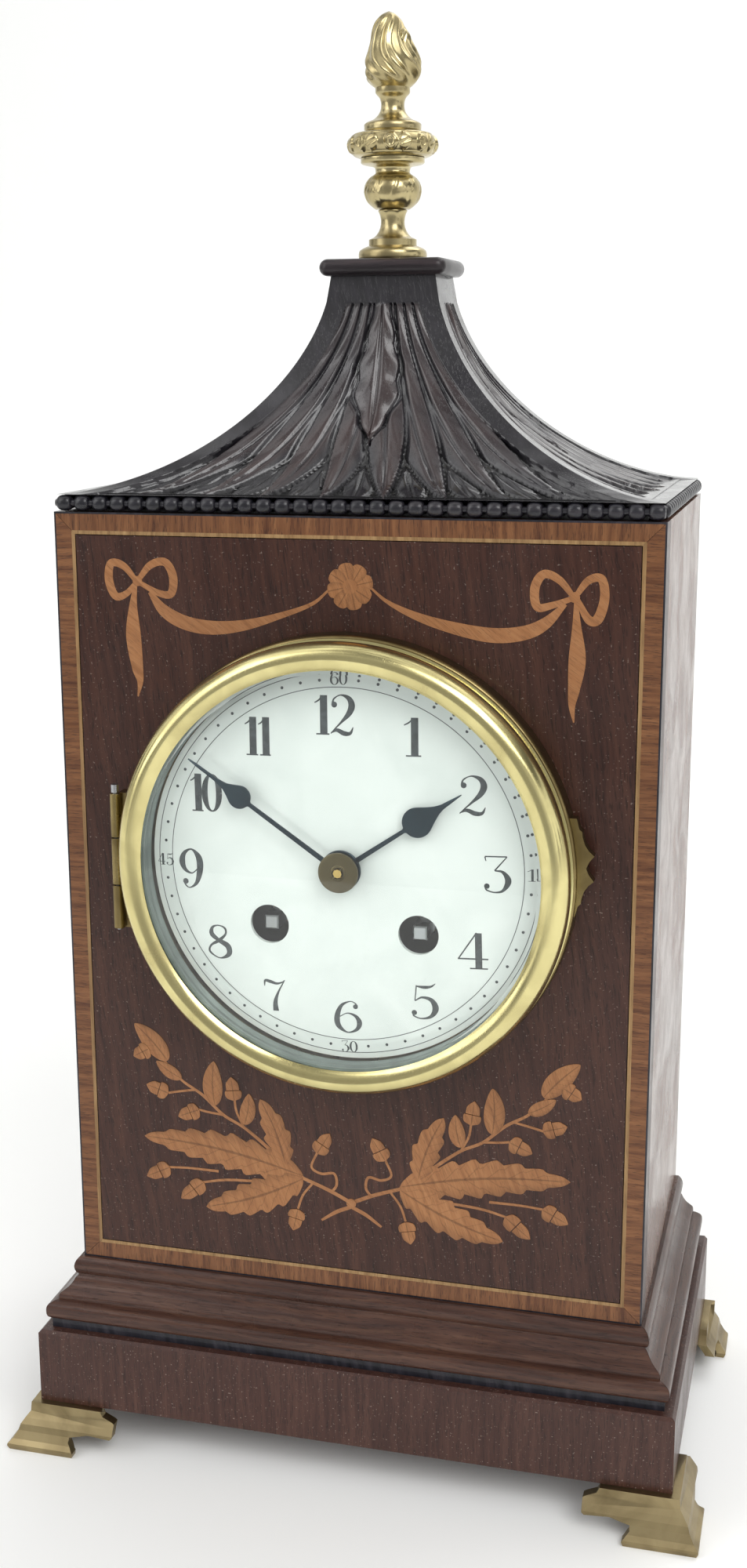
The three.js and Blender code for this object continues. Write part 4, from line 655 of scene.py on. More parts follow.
# one side of the spray under the dial; the other side is its mirror image
spray = {
    "stems": [
        [(0.2, 23.2, .5), (4, 21.4, .5), (8, 18.6, .3)], [(0, 24.4, .5), (6, 27.2, .5), (13, 29.8, .45)],
        [(13, 30, .45), (18.4, 33.6, .45), (22.6, 37.4, .45), (28.6, 42, .4), (34.3, 45, .4), (40, 50, .4),
         (45.7, 53.6, .35), (50.4, 58.6, .3)],
        [(5.4, 26.6, .35), (3.9, 29, .35), (4.6, 32, .35), (8, 31.6, .35), (10.6, 33.2, .3), (9, 37.4, .3)],
        [(26, 27.4, .35), (34, 26.8, .35), (40.4, 25.4, .3)], [(36, 29, .35), (44, 29, .3), (49.8, 28.6, .3)],
        [(10.5, 28.4, .3), (13, 25, .3), (14.4, 21, .3)], [(28.6, 42, .3), (30.6, 46, .3), (31.2, 49.6, .3)],
        [(34.3, 45, .3), (38.6, 45.4, .3), (41, 45.8, .3)],
        [(42, 51.2, .3), (46, 50.4, .3), (49.4, 49.6, .3)]],
    "leaves": [((12.9, 30.4), (56.4, 36.8), 10.6, 8, 1.6), ((12.9, 29.6), (39.6, 18.6), 10, 6, -1.2),
               ((17.6, 33), (24.2, 50.4), 7.6, 4, 0.8), ((49.3, 58.6), (58.2, 68), 5.6, 0, 0.4),
               ((36.6, 47.4), (36.6, 59.6), 5.4, 0, -0.5), ((45.6, 54), (52.4, 58.2), 3.6, 0, -0.3),
               ((28.6, 43), (27.2, 51.6), 4.2, 0, 0.4)],
    "acorns": [((31.2, 49.4), (32, 55.6)), ((41, 45.8), (46.6, 43.4)), ((49.4, 49.6), (55.2, 51.4)),
               ((9, 37.2), (5.7, 42.8)), ((49.6, 28.6), (55.9, 25.5)), ((40.2, 25.4), (46.4, 20.3)),
               ((14.4, 20.8), (15.7, 15)), ((54.4, 61.4), (58.6, 59))],
}
def makeSpray():
    stems, leaves = [disc(0, 24.3, 1.3, raised(12), behindFront, 16)], []
    for hand in (1, -1):
        for rank, path in enumerate(spray["stems"]):
            stems.append(wire([(hand * x, z, w) for x, z, w in path], 8, rank * 0.5 + (hand > 0) * 0.25))
        for rank, ((bx, bz), (tx, tz), width, lobes, bend) in enumerate(spray["leaves"]):
            leaves.append(leaf((hand * bx, bz), (hand * tx, tz), width, lobes, hand * bend, 6 + rank))
        for (bx, bz), (tx, tz) in spray["acorns"]:
            leaves += acorn((hand * bx, bz), (hand * tx, tz))
    makePiece("inlaid_stems", stems, "inlay")
    makePiece("inlaid_leaves", leaves, "inlayLeaf")


makeSpray()
print("veneer and marquetry made")

def mouldingRun(profile, start, end):
    # a run along X whose ends are given by the reach of each corner of its profile
    out, up = profile[:, 0], profile[:, 1]
    return np.stack([np.column_stack([at(out), -out, up]) for at in (start, end)])


def turnRun(rings, hand):
    # the front run turned onto a side: hand 1 is the right, -1 the left
    x, y, z = rings[..., 0], rings[..., 1], rings[..., 2]
    return np.stack([hand * (side - y), x, z], -1)


# each step is a share of the reach and of the height, from the top down
moulding = {"reach": 8.3, "height": 15.8, "mitre": 0.07, "sharp": (0, 1, 5, 6, 13, 18, 19), "steps": [
    (0, 0), (0.11, 0), (0.23, 0.06), (0.285, 0.17), (0.23, 0.28), (0.17, 0.305), (0.17, 0.33), (0.25, 0.37),
    (0.3, 0.43), (0.42, 0.51), (0.58, 0.565), (0.66, 0.6), (0.67, 0.655), (0.67, 0.69), (0.8, 0.7),
    (0.98, 0.745), (1.0, 0.86), (0.98, 0.95), (0.87, 1), (0, 1)]}


def makeMouldings():
    corners = [(out * moulding["reach"], -down * moulding["height"]) for out, down in moulding["steps"]]
    section = smoothCorners(corners, 2, keep=moulding["sharp"])
    mitre = moulding["mitre"]
    frontRun = mouldingRun(section, lambda out: mitre - side - out, lambda out: side + out - mitre)
    sideRun = mouldingRun(section, lambda out: mitre - out, lambda out: np.full_like(out, depth))
    makePiece("moulding_front", tube(frontRun), "moulding", replaces=["base_moulding_front"], smooth=28)
    for label, hand in (("left", -1), ("right", 1)):
        makePiece("moulding_" + label, tube(turnRun(sideRun, hand)), "mouldingSide",
                  replaces=["base_moulding_" + label], smooth=28)


makeMouldings()

beads = {"pitch": 4.63, "radius": 1.95, "neck": 0.85, "proud": 0.4, "rise": 2.1, "gap": 0.3, "shape": [
    (0, 0), (0.1, 0.02), (0.12, 0.45), (0.2, 0.76), (0.33, 0.95), (0.5, 1), (0.67, 0.95), (0.8, 0.76),
    (0.88, 0.45), (0.9, 0.02)]}


def beadString(length, segments=20):
    # barrels with rounded rims on a thin core, along X from zero, and how far each point stands out
    count = round(length / beads["pitch"])
    step = length / count
    shape = np.array(beads["shape"])
    place = (np.arange(count)[:, None] + shape[:, 0]).ravel() * step
    radius = np.tile(beads["neck"] + (beads["radius"] - beads["neck"]) * shape[:, 1], count)
    angle = np.linspace(0, 2 * np.pi, segments, endpoint=False)
    y, z = radius[:, None] * np.cos(angle), radius[:, None] * np.sin(angle)
    wear = smoothStep(np.hypot(y, z), beads["neck"], beads["radius"])
    return np.stack([np.broadcast_to(place[:, None], y.shape), y, z], -1), wear


def makeBeads():
    axisY = beads["radius"] - beads["proud"]
    frontLength = 2 * side + 2 * beads["proud"] - 1
    rings, wear = beadString(frontLength)
    rings += (-frontLength / 2, axisY, high + beads["rise"])
    makePiece("beads_front", tube(rings, wear=wear), "beads", replaces=["bead_strip_front"], smooth=60)
    sideStart = axisY + beads["radius"] + beads["gap"]
    rings, wear = beadString(depth - sideStart)
    along, out, up = rings[..., 0], rings[..., 1], rings[..., 2]
    for label, hand in (("left", -1), ("right", 1)):
        x = hand * (side - axisY + out)
        placed = np.stack([x, sideStart + along, high + beads["rise"] + up], -1)
        makePiece("beads_" + label, tube(placed, wear=wear), "beads", replaces=["bead_strip_" + label],
                  smooth=60)


makeBeads()
print("mouldings and beads made")

# each face of the roof, from the front on: columns of points, leaves to each side, and their width
roof = {"inset": 0.6, "height": 52.1, "neck": (26.6, 20.6), "sweep": 0.63, "frieze": 0.875,
        "bottom": high + 4.2, "border": 5.2, "sunk": 1.9, "rows": 150,
        "faces": [(260, 4, 4.7), (140, 3, 3.9), (90, 4, 4.7), (90, 3, 3.9)]}


def carveLeaf(field, away, climb, wide, foot, point, rise, lean=0.0):
    # one leaf laid over the carving so far: a sunk midrib, rounded halves, and a groove cut
    # round its edge; lean lifts the half that lies away from the middle of the face
    s = np.clip((foot - climb) / (foot - point), 0, 1.2)
    taper = 1 - np.clip((s - 0.6) / 0.4, 0, 1.15) ** 1.8
    width = wide * (0.36 + 0.64 * smoothStep(s, 0, 0.6)) * taper
    t = away / np.maximum(width, 0.3)
    body = rise * (1 - 0.34 * t ** 2) + lean * t - 0.5 * np.exp(-(t / 0.13) ** 2)
    body += 0.07 * np.sin(2 * np.pi * (4.5 * s - 0.8 * np.abs(t))) * smoothStep(np.abs(t), 0.15, 0.4)
    t = np.abs(t)
    along = (climb < foot) & (s < 1.03)
    groove = smoothStep(t, 0.96, 1.04) * smoothStep(t, 1.42, 1.12) * along
    inside = smoothStep(t, 1.02, 0.93) * along
    field = field - 0.75 * np.minimum(field, 1) * groove
    return field * (1 - inside) + body * inside


def roofRelief(q, half, climb, leaves, wide):
    # heights above the sunk ground of one face; q runs from -1 to 1 between its borders and
    # climb from 0 at the beads to 1 at the top of the panel
    pitch = 1 / (leaves + 0.17)
    field = np.zeros(np.broadcast(q, climb).shape)
    for k in range(-leaves, leaves + 1):
        field = carveLeaf(field, (q - k * pitch) * half, climb, wide * 0.86, 0.46, 0.012, 0.9)
    for k in sorted(range(-leaves, leaves), key=lambda k: -abs(k + 0.5)):
        place = k + 0.5
        lean = 0.28 * math.copysign(1, place)
        field = carveLeaf(field, (q - place * pitch) * half, climb, wide, 1.02, 0.04, 1.6, lean)
    lobed = wide * (1.1 + 0.1 * np.sin(climb * 44))
    return carveLeaf(field, q * half, climb, lobed, 1.02, 0.4, 2.1)


def roofRings():
    last = roof["frieze"]
    rows = last * np.linspace(0.045, 1, roof["rows"]) ** 1.55
    up = np.concatenate([[0, 0.0004], rows, [last + 0.006, 1]])[:, None]
    share = np.clip(1 - up ** roof["sweep"], 0, 1) ** (1 / roof["sweep"])
    edge = (side - roof["inset"], depth / 2 - roof["inset"])
    half = [n / 2 + (e - n / 2) * share for n, e in zip(roof["neck"], edge)]
    z = roof["bottom"] + roof["height"] * up
    rings, reliefs = [], []
    for face, (count, leaves, wide) in enumerate(roof["faces"]):
        along, out = (half[0], half[1]) if face % 2 == 0 else (half[1], half[0])
        reach = np.linspace(-1, 1, count, endpoint=False)[None, :]
        border = roof["border"] / along
        q = reach / (1 - border)
        climb = np.concatenate([[0], np.cumsum(np.hypot(np.diff(out[:, 0]), np.diff(z[:, 0])))])[:, None]
        climb = climb / climb[-3]
        field = roofRelief(q, along * (1 - border), climb, leaves, wide)
        panel = smoothStep(np.abs(q), 1.0, 0.98) * smoothStep(up, 0.0, 0.006) * (up < last)
        relief = panel * (field - roof["sunk"])
        slope = np.gradient(out[:, 0]) / np.maximum(np.gradient(z[:, 0]), 1e-6)
        slope = np.clip(slope, -12, 0)[:, None]
        size = np.sqrt(1 + slope ** 2)
        outward, upward = relief / size, relief * -slope / size
        a, b = along * reach, -(out + outward)
        turn = face * math.pi / 2
        x = a * math.cos(turn) - b * math.sin(turn)
        y = a * math.sin(turn) + b * math.cos(turn)
        rings.append(np.stack([x, y + depth / 2, np.broadcast_to(z, x.shape) + upward], -1))
        # heights that the carving's colour reads: its sunk ground is darkened there as painted shade, its
        # high places take sheen and wear
        reliefs.append(np.clip(1 + relief / roof["sunk"], 0, 1) * panel + 0.5 * (1 - panel))
    return np.concatenate(rings, 1), np.concatenate(reliefs, 1)


def makeRoof():
    # the carved skin on a core that stands between the strings of beads
    rings, wear = roofRings()
    beadRoom = 2 * beads["radius"] + beads["gap"]
    coreSide = side - roof["inset"] - beadRoom
    core = block((-coreSide, beadRoom, high), (coreSide, depth - roof["inset"], high + 4.4))
    makePiece("carved_roof", [tube(rings, wear=wear), core], "carving", replaces=["roof"], smooth=50)


makeRoof()


def roundedRing(halfX, halfY, corner, steps=8):
    angle = np.linspace(0, np.pi / 2, steps)
    ring = []
    for k, (sx, sy) in enumerate(((1, 1), (-1, 1), (-1, -1), (1, -1))):
        turn = angle + k * np.pi / 2
        ring.append(np.column_stack([sx * (halfX - corner) + corner * np.cos(turn),
                                     sy * (halfY - corner) + corner * np.sin(turn)]))
    return np.concatenate(ring)


cap = {"overhang": 2.8, "height": 4.1, "edge": 2.0, "corner": 2.4, "leastCorner": 0.4, "rings": 15}
capBottom = roof["bottom"] + roof["height"]


def makeCap():
    halfX, halfY = (n / 2 + cap["overhang"] for n in roof["neck"])
    rings = []
    for turn in np.linspace(-math.pi / 2, math.pi / 2, cap["rings"]):
        back = cap["edge"] * (1 - math.cos(turn))
        ring = roundedRing(halfX - back, halfY - back, max(cap["corner"] - back, cap["leastCorner"]))
        up = capBottom + cap["height"] / 2 * (1 + math.sin(turn))
        rings.append(np.column_stack([ring[:, 0], ring[:, 1] + depth / 2, np.full(len(ring), up)]))
    makePiece("cap_slab", tube(np.array(rings)), "ebonyPlain", replaces=["roof_cap"], smooth=50)


makeCap()
print("roof made")
finialY = depth / 2
finialBottom = capBottom + cap["height"]


def finialPiece(name, profile, node, relief=None, keep=(), segments=160, times=2, extra=()):
    section = smoothCorners(profile, times, keep=(0, len(profile) - 1, *keep))
    body = turned(section, "z", (0, finialY, finialBottom), segments, False, relief)
    makePiece(name, [body, *extra], "castBrass", replaces=[node], smooth=45)


finialPiece("foot_of_finial", [
    (1.5, 0), (8.3, 0), (8.6, 0.4), (8.6, 1.7), (8.2, 2.5), (6.4, 3.3), (6.0, 3.4), (6.0, 4.9), (5.6, 5.1),
    (4.4, 5.6), (3.2, 7.4), (2.9, 9.3), (3.3, 11.2), (3.9, 12.1), (1.5, 12.2)], "finial_foot",
    keep=(1, 6, 7), segments=96)


def knopRelief(angle, radius, height):
    # upright lobes parted by grooves, with a mask of small bosses between every second pair
    swell = smoothStep(height, 13.0, 15.0) * smoothStep(height, 20.6, 18.6)
    bent = angle + 0.09 * np.sin((height - 13.5) * 0.9)
    lobes = -0.6 * np.exp(-(np.sin(5 * bent) / 0.2) ** 2)
    up = (height - 16.6) / 1.7
    mask = np.abs(((angle * 5 / (2 * np.pi)) % 1) - 0.45) / 0.2
    boss = 0.35 * smoothStep(np.hypot(mask, up), 1.0, 0.8) * (0.6 + 0.4 * np.cos(9 * mask) * np.cos(5 * up))
    return swell * (np.maximum(lobes, boss - 0.2) - 0.05)


finialPiece("knop", [
    (1.5, 12.2), (4.3, 12.2), (5.3, 12.9), (6.7, 14.2), (7.35, 16.2), (7.1, 18.2), (5.9, 19.8), (4.6, 20.5),
    (4.3, 20.9), (4.35, 22.1), (5.2, 22.5), (7.6, 22.9), (7.95, 23.3), (7.95, 24.3), (1.5, 24.4)],
    "finial_knop", relief=knopRelief, keep=(1, 8, 12, 13))


def wreathRelief(angle, radius, height):
    # round flowers, pointed leaves and crossing ribbons in turn round the torus
    up = (height - 27.5) / 2.9
    band = smoothStep(np.abs(up), 1.02, 0.8) * smoothStep(radius, 6, 9)
    turn = (angle * 8 / (2 * np.pi)) % 1
    flower = np.hypot((turn - 0.25) / 0.2, up / 0.78)
    bloom = 0.55 * smoothStep(flower, 1.0, 0.75) - 0.35 * smoothStep(flower, 0.5, 0.35)
    petal = np.hypot((turn - 0.68) / 0.2, up / 0.82)
    leafy = 0.5 * smoothStep(petal + 0.5 * np.abs(up) * (turn - 0.5), 1.0, 0.75)
    leafy = leafy - 0.3 * np.exp(-((up - 1.6 * (turn - 0.68)) / 0.13) ** 2) * (petal < 0.9)
    knot = np.abs(turn - 0.47)
    cross = 0.4 * np.exp(-((np.abs(up) - 4.2 * knot) / 0.16) ** 2) * (knot < 0.17)
    edge = 0.3 * smoothStep(np.abs(up), 0.72, 0.86)
    return band * (np.maximum(np.maximum(bloom, leafy), np.maximum(cross, edge)) - 0.35)


finialPiece("wreath", [
    (1.5, 24.4), (7.6, 24.4), (8.6, 24.5), (10.1, 25.1), (11.0, 26.4), (11.25, 27.5), (11.0, 28.6),
    (10.1, 29.9), (8.6, 30.4), (7.6, 30.5), (1.5, 30.6)], "finial_wreath", relief=wreathRelief,
    segments=320, times=3)

# the outline of a tongue of the flame: share of its height and of its reach
tongueShape = curveThrough([
    (0, 0.56), (0.1, 0.86), (0.22, 1.0), (0.36, 0.98), (0.5, 0.84), (0.64, 0.7), (0.77, 0.6), (0.88, 0.47),
    (0.96, 0.27), (1, 0.04)], 10)


def flameTongue(base, top, lean, reach, twist, phase):
    # rings that swell and twist upwards, ridged into tongues, closing in a blunt tip
    t = np.linspace(0, 1, 70)[:, None]
    angle = np.linspace(0, 2 * np.pi, 140, endpoint=False)[None, :]
    share = np.interp(t[:, 0], tongueShape[:, 0], tongueShape[:, 1])[:, None]
    wave = twist * np.sin(3.6 * t - 0.5)
    ridge = 1 - np.abs(np.sin(2 * (angle + wave) + phase)) ** 1.5
    fine = 1 - np.abs(np.sin(5 * (angle + wave * 1.15) + phase * 2)) ** 1.6
    active = smoothStep(t, 0.03, 0.22) * smoothStep(t, 1.0, 0.86)
    radius = reach * share * (1 + active * (0.16 * (ridge - 0.42) + 0.15 * (fine - 0.4)))
    sway = lean[0] * t ** 1.5 + 0.7 * np.sin(5.5 * t) * t
    x = radius * np.cos(angle) + sway
    y = radius * np.sin(angle) * 0.94 + lean[1] * t + finialY
    z = np.broadcast_to(finialBottom + base + (top - base) * t, x.shape)
    return tube(np.stack([x, y, z], -1), wear=ridge * np.ones_like(angle))


mainTongue = flameTongue(40.4, 58.65, (-0.5, 0.2), 6.7, 0.75, 0.4)
lowTongue = flameTongue(41.0, 54.4, (3.6, -1.2), 4.3, 0.6, 1.9)
finialPiece("flame", [
    (1.5, 30.6), (6.9, 30.6), (7.1, 31.0), (7.1, 32.3), (6.6, 32.8), (4.6, 33.5), (3.1, 35.2), (2.8, 37.0),
    (3.2, 38.6), (4.1, 39.4), (4.3, 39.8), (4.3, 40.9), (3.6, 41.3), (1.5, 41.4)], "finial_flame",
    keep=(1, 3, 10, 11), segments=96, extra=(mainTongue, lowTongue))
print("finial made")


dial = {"edge": -3.8, "crown": 2.2, "thickness": 1.2, "centreHole": 3.9, "keyHole": 5.0, "keyX": 18.9,
        "keyZ": -15.6}


def dialFace(x, z):
    reach = np.hypot(x, z - dialUp) / dialR
    return dial["edge"] - dial["crown"] * (1 - reach ** 2)


def circle(x, z, radius, count):
    angle = np.linspace(0, 2 * np.pi, count, endpoint=False)
    return np.column_stack([x + radius * np.cos(angle), z + radius * np.sin(angle)])


def dialPlate():
    # a net of triangles between the rim and the three holes, lifted onto the domed face
    holes = [(0, 0, dial["centreHole"]), (dial["keyX"], dial["keyZ"], dial["keyHole"]),
             (-dial["keyX"], dial["keyZ"], dial["keyHole"])]
    loops = [circle(0, 0, dialR, 160)] + [circle(*hole, 48) for hole in holes]
    inner = np.concatenate([circle(0, 0, r, int(r * 2.4)) for r in np.arange(6, dialR - 1, 3.2)])
    for x, z, radius in holes:
        inner = inner[np.hypot(inner[:, 0] - x, inner[:, 1] - z) > radius + 0.8]
    flat = np.concatenate(loops + [inner])
    starts = np.cumsum([0] + [len(loop) for loop in loops])
    edges = []
    for start, loop in zip(starts, loops):
        count = len(loop)
        edges += [(int(start + k), int(start + (k + 1) % count)) for k in range(count)]
    result = delaunay_2d_cdt([Vector(p) for p in flat], edges, [], 0, 1e-6)
    points = np.array([list(p) for p in result[0]])
    faces = np.array([list(f) for f in result[2]])
    middle = points[faces].mean(1)
    keep = np.hypot(middle[:, 0], middle[:, 1]) < dialR
    for x, z, radius in holes:
        keep &= np.hypot(middle[:, 0] - x, middle[:, 1] - z) > radius * 0.998
    faces = faces[keep]
    a, b, c = (points[faces[:, k]] for k in range(3))
    turning = (b - a)[:, 0] * (c - a)[:, 1] - (b - a)[:, 1] * (c - a)[:, 0]
    faces[turning < 0] = faces[turning < 0][:, ::-1]
    return points, faces, [np.arange(s, s + len(loop)) for s, loop in zip(starts, loops)]


def makeDial():
    points, faces, loops = dialPlate()
    x, z = points[:, 0], points[:, 1] + dialUp
    face = np.column_stack([x, dialFace(x, z), z])
    back = face + (0, dial["thickness"], 0)
    count = len(points)
    whole = np.concatenate([face, back])
    quads = []
    for index, loop in enumerate(loops):
        after = np.roll(loop, -1)
        wall = np.column_stack([loop, loop + count, after + count, after])
        quads.append(wall if index == 0 else wall[:, ::-1])
    caps = faces.tolist() + (faces[:, ::-1] + count).tolist()
    makePiece("enamel_dial", solid(whole, np.concatenate(quads), caps), "enamel", replaces=["dial_plate"],
              smooth=40)


makeDial()

# radii of the bezel's lip and opening, of its glass and of the fixed ring behind it
lip, opening, outerR = dialR + 7.0, dialR + 0.3, dialR + 7.7
glassR = opening + 2.1
hinge = {"bore": 0.75, "radius": 1.4, "reach": outerR + 0.2 + 1.4, "back": -6.2, "middle": 12, "height": 35,
         "drop": 2, "play": 0.3, "bevel": 0.15}


def onDial(profile, keep=None, times=2, segments=192, closed=True):
    section = np.array(profile, float)
    if keep is not None:
        section = smoothCorners(profile, times, closed=closed, keep=keep)
    return turned(section, "y", (0, 0, dialUp), segments, closed)


def hingeTube(low, top):
    # an open tube along Z round the hinge's axis
    bore, radius, bevel = hinge["bore"], hinge["radius"], hinge["bevel"]
    section = [(bore, low), (radius - bevel, low), (radius, low + bevel), (radius, top - bevel),
               (radius - bevel, top), (bore, top)]
    return turned(section, "z", (-hinge["reach"], hinge["back"], dialUp), 24)

bezelRing = onDial([
    (glassR + 0.3, -6.2), (lip, -6.2), (lip, -7.1), (lip - 0.9, -7.3), (lip - 0.7, -8.4), (lip - 0.1, -9.4),
    (lip - 0.1, -11.2), (lip - 0.9, -13.0), (lip - 2.1, -14.1), (lip - 3.5, -14.5), (opening + 2.0, -14.3),
    (opening + 0.8, -13.8), (opening, -13.1), (opening, -13.0), (glassR + 0.3, -13.0)],
    keep=(0, 1, 2, 3, 12, 13, 14), times=3)
knuckleLow, knuckleTop = -hinge["middle"] / 2 - hinge["drop"], hinge["middle"] / 2 - hinge["drop"]
arm = block((-hinge["reach"] + 0.95, -7.1, dialUp + knuckleLow), (-lip + 1.4, -6.2, dialUp + knuckleTop))
makePiece("bezel_ring", bezelRing, "brass", body="bezel", replaces=["bezel"], smooth=40)
makePiece("bezel_hinge", [hingeTube(knuckleLow, knuckleTop), arm], "ringBrass", body="bezel",
          smooth=40)

pane = onDial([(2, -12.7), (glassR - 3, -12.7), (glassR, -11.9), (glassR, -11.1), (2, -11.1)], closed=False)
makePiece("bevelled_glass", pane, "glass", body="bezel", replaces=["bezel_glass"], smooth=10)

sight = onDial([
    (glassR, -10.8), (glassR, -6.2), (glassR - 2.5, -6.2), (glassR - 2.4, -6.7), (glassR - 1.9, -7.6),
    (glassR - 2.0, -8.6), (glassR - 1.7, -9.6), (glassR - 1.7, -10.8)], keep=(0, 1, 2, 7))
makePiece("silvered_ring", sight, "silvered", body="bezel", replaces=["sight_ring"], smooth=30)

backRing = onDial([
    (dialR - 3.7, 0), (outerR, 0), (outerR, -4.6), (outerR - 0.4, -5.6), (outerR - 1.0, -5.9),
    (dialR + 0.6, -5.9), (dialR + 0.6, -2.3), (dialR - 5.2, -2.3), (dialR - 5.2, 6), (dialR - 3.7, 6)],
    keep=(0, 1, 5, 6, 7, 8, 9))
# the lug's upper half, out from the ring and up from its own middle
lug = {"rise": 3.6, "front": -4.9, "back": -1.9, "half": [
    (1.9, 0), (2.5, 1.5), (3.75, 3.1), (2.5, 4.2), (1.5, 5.7), (0.9, 7.6), (0.8, 8.8), (0.1, 9.4), (-0.6, 12),
    (-4, 12)]}
upperHalf = [(outerR + out, z) for out, z in lug["half"]]
lugLine = [(x, -z) for x, z in upperHalf[:0:-1]] + upperHalf
lugLine = [(x, z + lug["rise"] + dialUp) for x, z in lugLine]
ringParts = [backRing, plate(lugLine, lug["front"], lug["back"])]
nearEnd, farEnd = hinge["middle"] / 2 + hinge["play"], hinge["height"] / 2
for low, top in ((-farEnd, -nearEnd), (nearEnd, farEnd)):
    z0, z1 = low - hinge["drop"], top - hinge["drop"]
    ringParts.append(hingeTube(z0, z1))
    ringParts.append(block((-hinge["reach"] + 0.4, -5.35, dialUp + z0), (-outerR + 4.5, -1, dialUp + z1)))
makePiece("dial_surround", ringParts, "ringBrass", replaces=["dial_ring"], smooth=40)
print("dial, bezel and glass made")


def inkFace(x, z):
    return dialFace(x, z) - 0.03


def inkBack(x, z):
    return dialFace(x, z) + 0.2


printTurn = math.radians(1.3)


def onPrint(x, z):
    # the print sits a little turned on its dial
    c, s = math.cos(printTurn), math.sin(printTurn)
    return c * x - s * z, s * x + c * z + dialUp


def ball(x, z):
    return [(x, z, 0.075)]


# strokes of each figure in a box of one by one: x, z and half width
digits = {
    "0": [[(0.5 + 0.42 * math.cos(a), 0.5 + 0.48 * math.sin(a), 0.02 + 0.065 * abs(math.cos(a)) ** 1.5)
           for a in np.linspace(0, 2 * math.pi, 17)]],
    "1": [[(0.66, 0.99, .095), (0.66, 0.01, .095)], [(0.6, 0.97, .02), (0.3, 0.86, .02), (0.02, 0.8, .015)],
          [(0.12, 0.015, .018), (1.05, 0.015, .018)]],
    "2": [ball(0.2, 0.76),
          [(0.13, 0.78, .03), (0.2, 0.91, .02), (0.48, 1, .018), (0.8, 0.92, .06), (0.92, 0.74, .085),
           (0.8, 0.54, .07), (0.5, 0.33, .03), (0.2, 0.14, .015), (0.05, 0.03, .012)],
          [(0.05, 0.05, .01), (0.3, 0.12, .045), (0.6, 0.04, .06), (0.85, 0.05, .04), (0.97, 0.2, .01)]],
    "3": [[(0.1, 0.985, .018), (0.9, 0.985, .018)], [(0.1, 0.98, .018), (0.14, 0.86, .012)],
          [(0.9, 0.98, .015), (0.45, 0.6, .02)],
          [(0.45, 0.6, .015), (0.75, 0.56, .04), (0.94, 0.32, .085), (0.75, 0.06, .04), (0.45, 0, .02),
           (0.16, 0.06, .02), (0.1, 0.14, .02)], ball(0.16, 0.17)],
    "4": [[(0.64, 1, .02), (0.02, 0.28, .018)], [(0, 0.28, .02), (1.02, 0.28, .02)],
          [(0.7, 0.99, .09), (0.7, 0.01, .09)], [(0.4, 0.015, .018), (1.0, 0.015, .018)]],
    "5": [[(0.26, 0.95, .02), (0.55, 0.93, .045), (0.8, 0.96, .03), (0.97, 1.05, .01)],
          [(0.25, 0.98, .018), (0.18, 0.52, .014)],
          [(0.18, 0.52, .015), (0.45, 0.63, .03), (0.8, 0.56, .06), (0.95, 0.32, .09), (0.78, 0.08, .05),
           (0.42, 0, .02), (0.14, 0.06, .02), (0.08, 0.14, .02)], ball(0.14, 0.17)],
    "6": [ball(0.82, 0.84),
          [(0.9, 0.86, .02), (0.8, 0.96, .018), (0.6, 1, .016), (0.27, 0.85, .05), (0.09, 0.5, .085),
           (0.13, 0.2, .08), (0.46, 0, .022), (0.82, 0.1, .05), (0.95, 0.32, .08), (0.82, 0.53, .05),
           (0.5, 0.62, .018), (0.2, 0.5, .014)]],
    "7": [[(0.04, 0.78, .012), (0.08, 0.95, .035), (0.3, 0.93, .05), (0.6, 0.88, .035), (0.85, 0.93, .02),
           (0.97, 1, .012)],
          [(0.97, 1, .012), (0.66, 0.62, .03), (0.5, 0.3, .065), (0.5, 0.01, .09)]],
    "8": [[(0.5, 0.54, .05), (0.2, 0.72, .07), (0.24, 0.92, .04), (0.5, 0.99, .018), (0.78, 0.92, .03),
           (0.8, 0.74, .03), (0.5, 0.54, .05), (0.14, 0.38, .03), (0.08, 0.18, .03), (0.5, 0.01, .018),
           (0.9, 0.14, .07), (0.88, 0.38, .085), (0.5, 0.54, .06)]],
}
digits["9"] = [[(1 - x, 1 - z, w) for x, z, w in path] for path in digits["6"]]


def digit(name, x0, x1, z0, z1):
    # the strokes of one figure, set in its box on the turned print
    parts, tall = [], z1 - z0
    for path in digits[name]:
        if len(path) == 1:
            x, z = onPrint(x0 + path[0][0] * (x1 - x0), z0 + path[0][1] * tall)
            parts.append(disc(x, z, path[0][2] * tall, inkFace, inkBack, 16))
            continue
        rows = stroke(path, 9)
        if len(path) == 2:
            rows = rows[0] + (rows[1] - rows[0]) * np.linspace(0, 1, 6)[:, None]
        x, z = onPrint(x0 + rows[:, 0] * (x1 - x0), z0 + rows[:, 1] * tall)
        parts.append(strip(np.column_stack([x, z, rows[:, 2] * tall]), inkFace, inkBack))
    return parts


# boxes of the hour figures: left, right, bottom and top, from the middle of the dial
figures = {"12": (-6.2, 3.6, 33.0, 42.6), "1": (15.8, 19.8, 28.2, 37.6), "2": (28.8, 35.5, 14.4, 23.8),
           "3": (34.4, 41.0, -4.5, 4.5), "4": (28.1, 35.4, -24.1, -14.8), "5": (16.0, 22.6, -37.7, -28.8),
           "6": (-3.4, 3.2, -42.6, -34.3), "7": (-21.7, -15.9, -38.3, -29.8),
           "8": (-36.1, -30.0, -25.2, -16.4), "9": (-42.2, -36.7, -7.0, 2.9),
           "10": (-38.9, -30.9, 12.8, 22.3), "11": (-24.1, -17.6, 27.4, 36.9)}
small = {"60": (0, 46.6), "15": (47.2, 0), "30": (0, -46.4), "45": (-46.4, 0)}
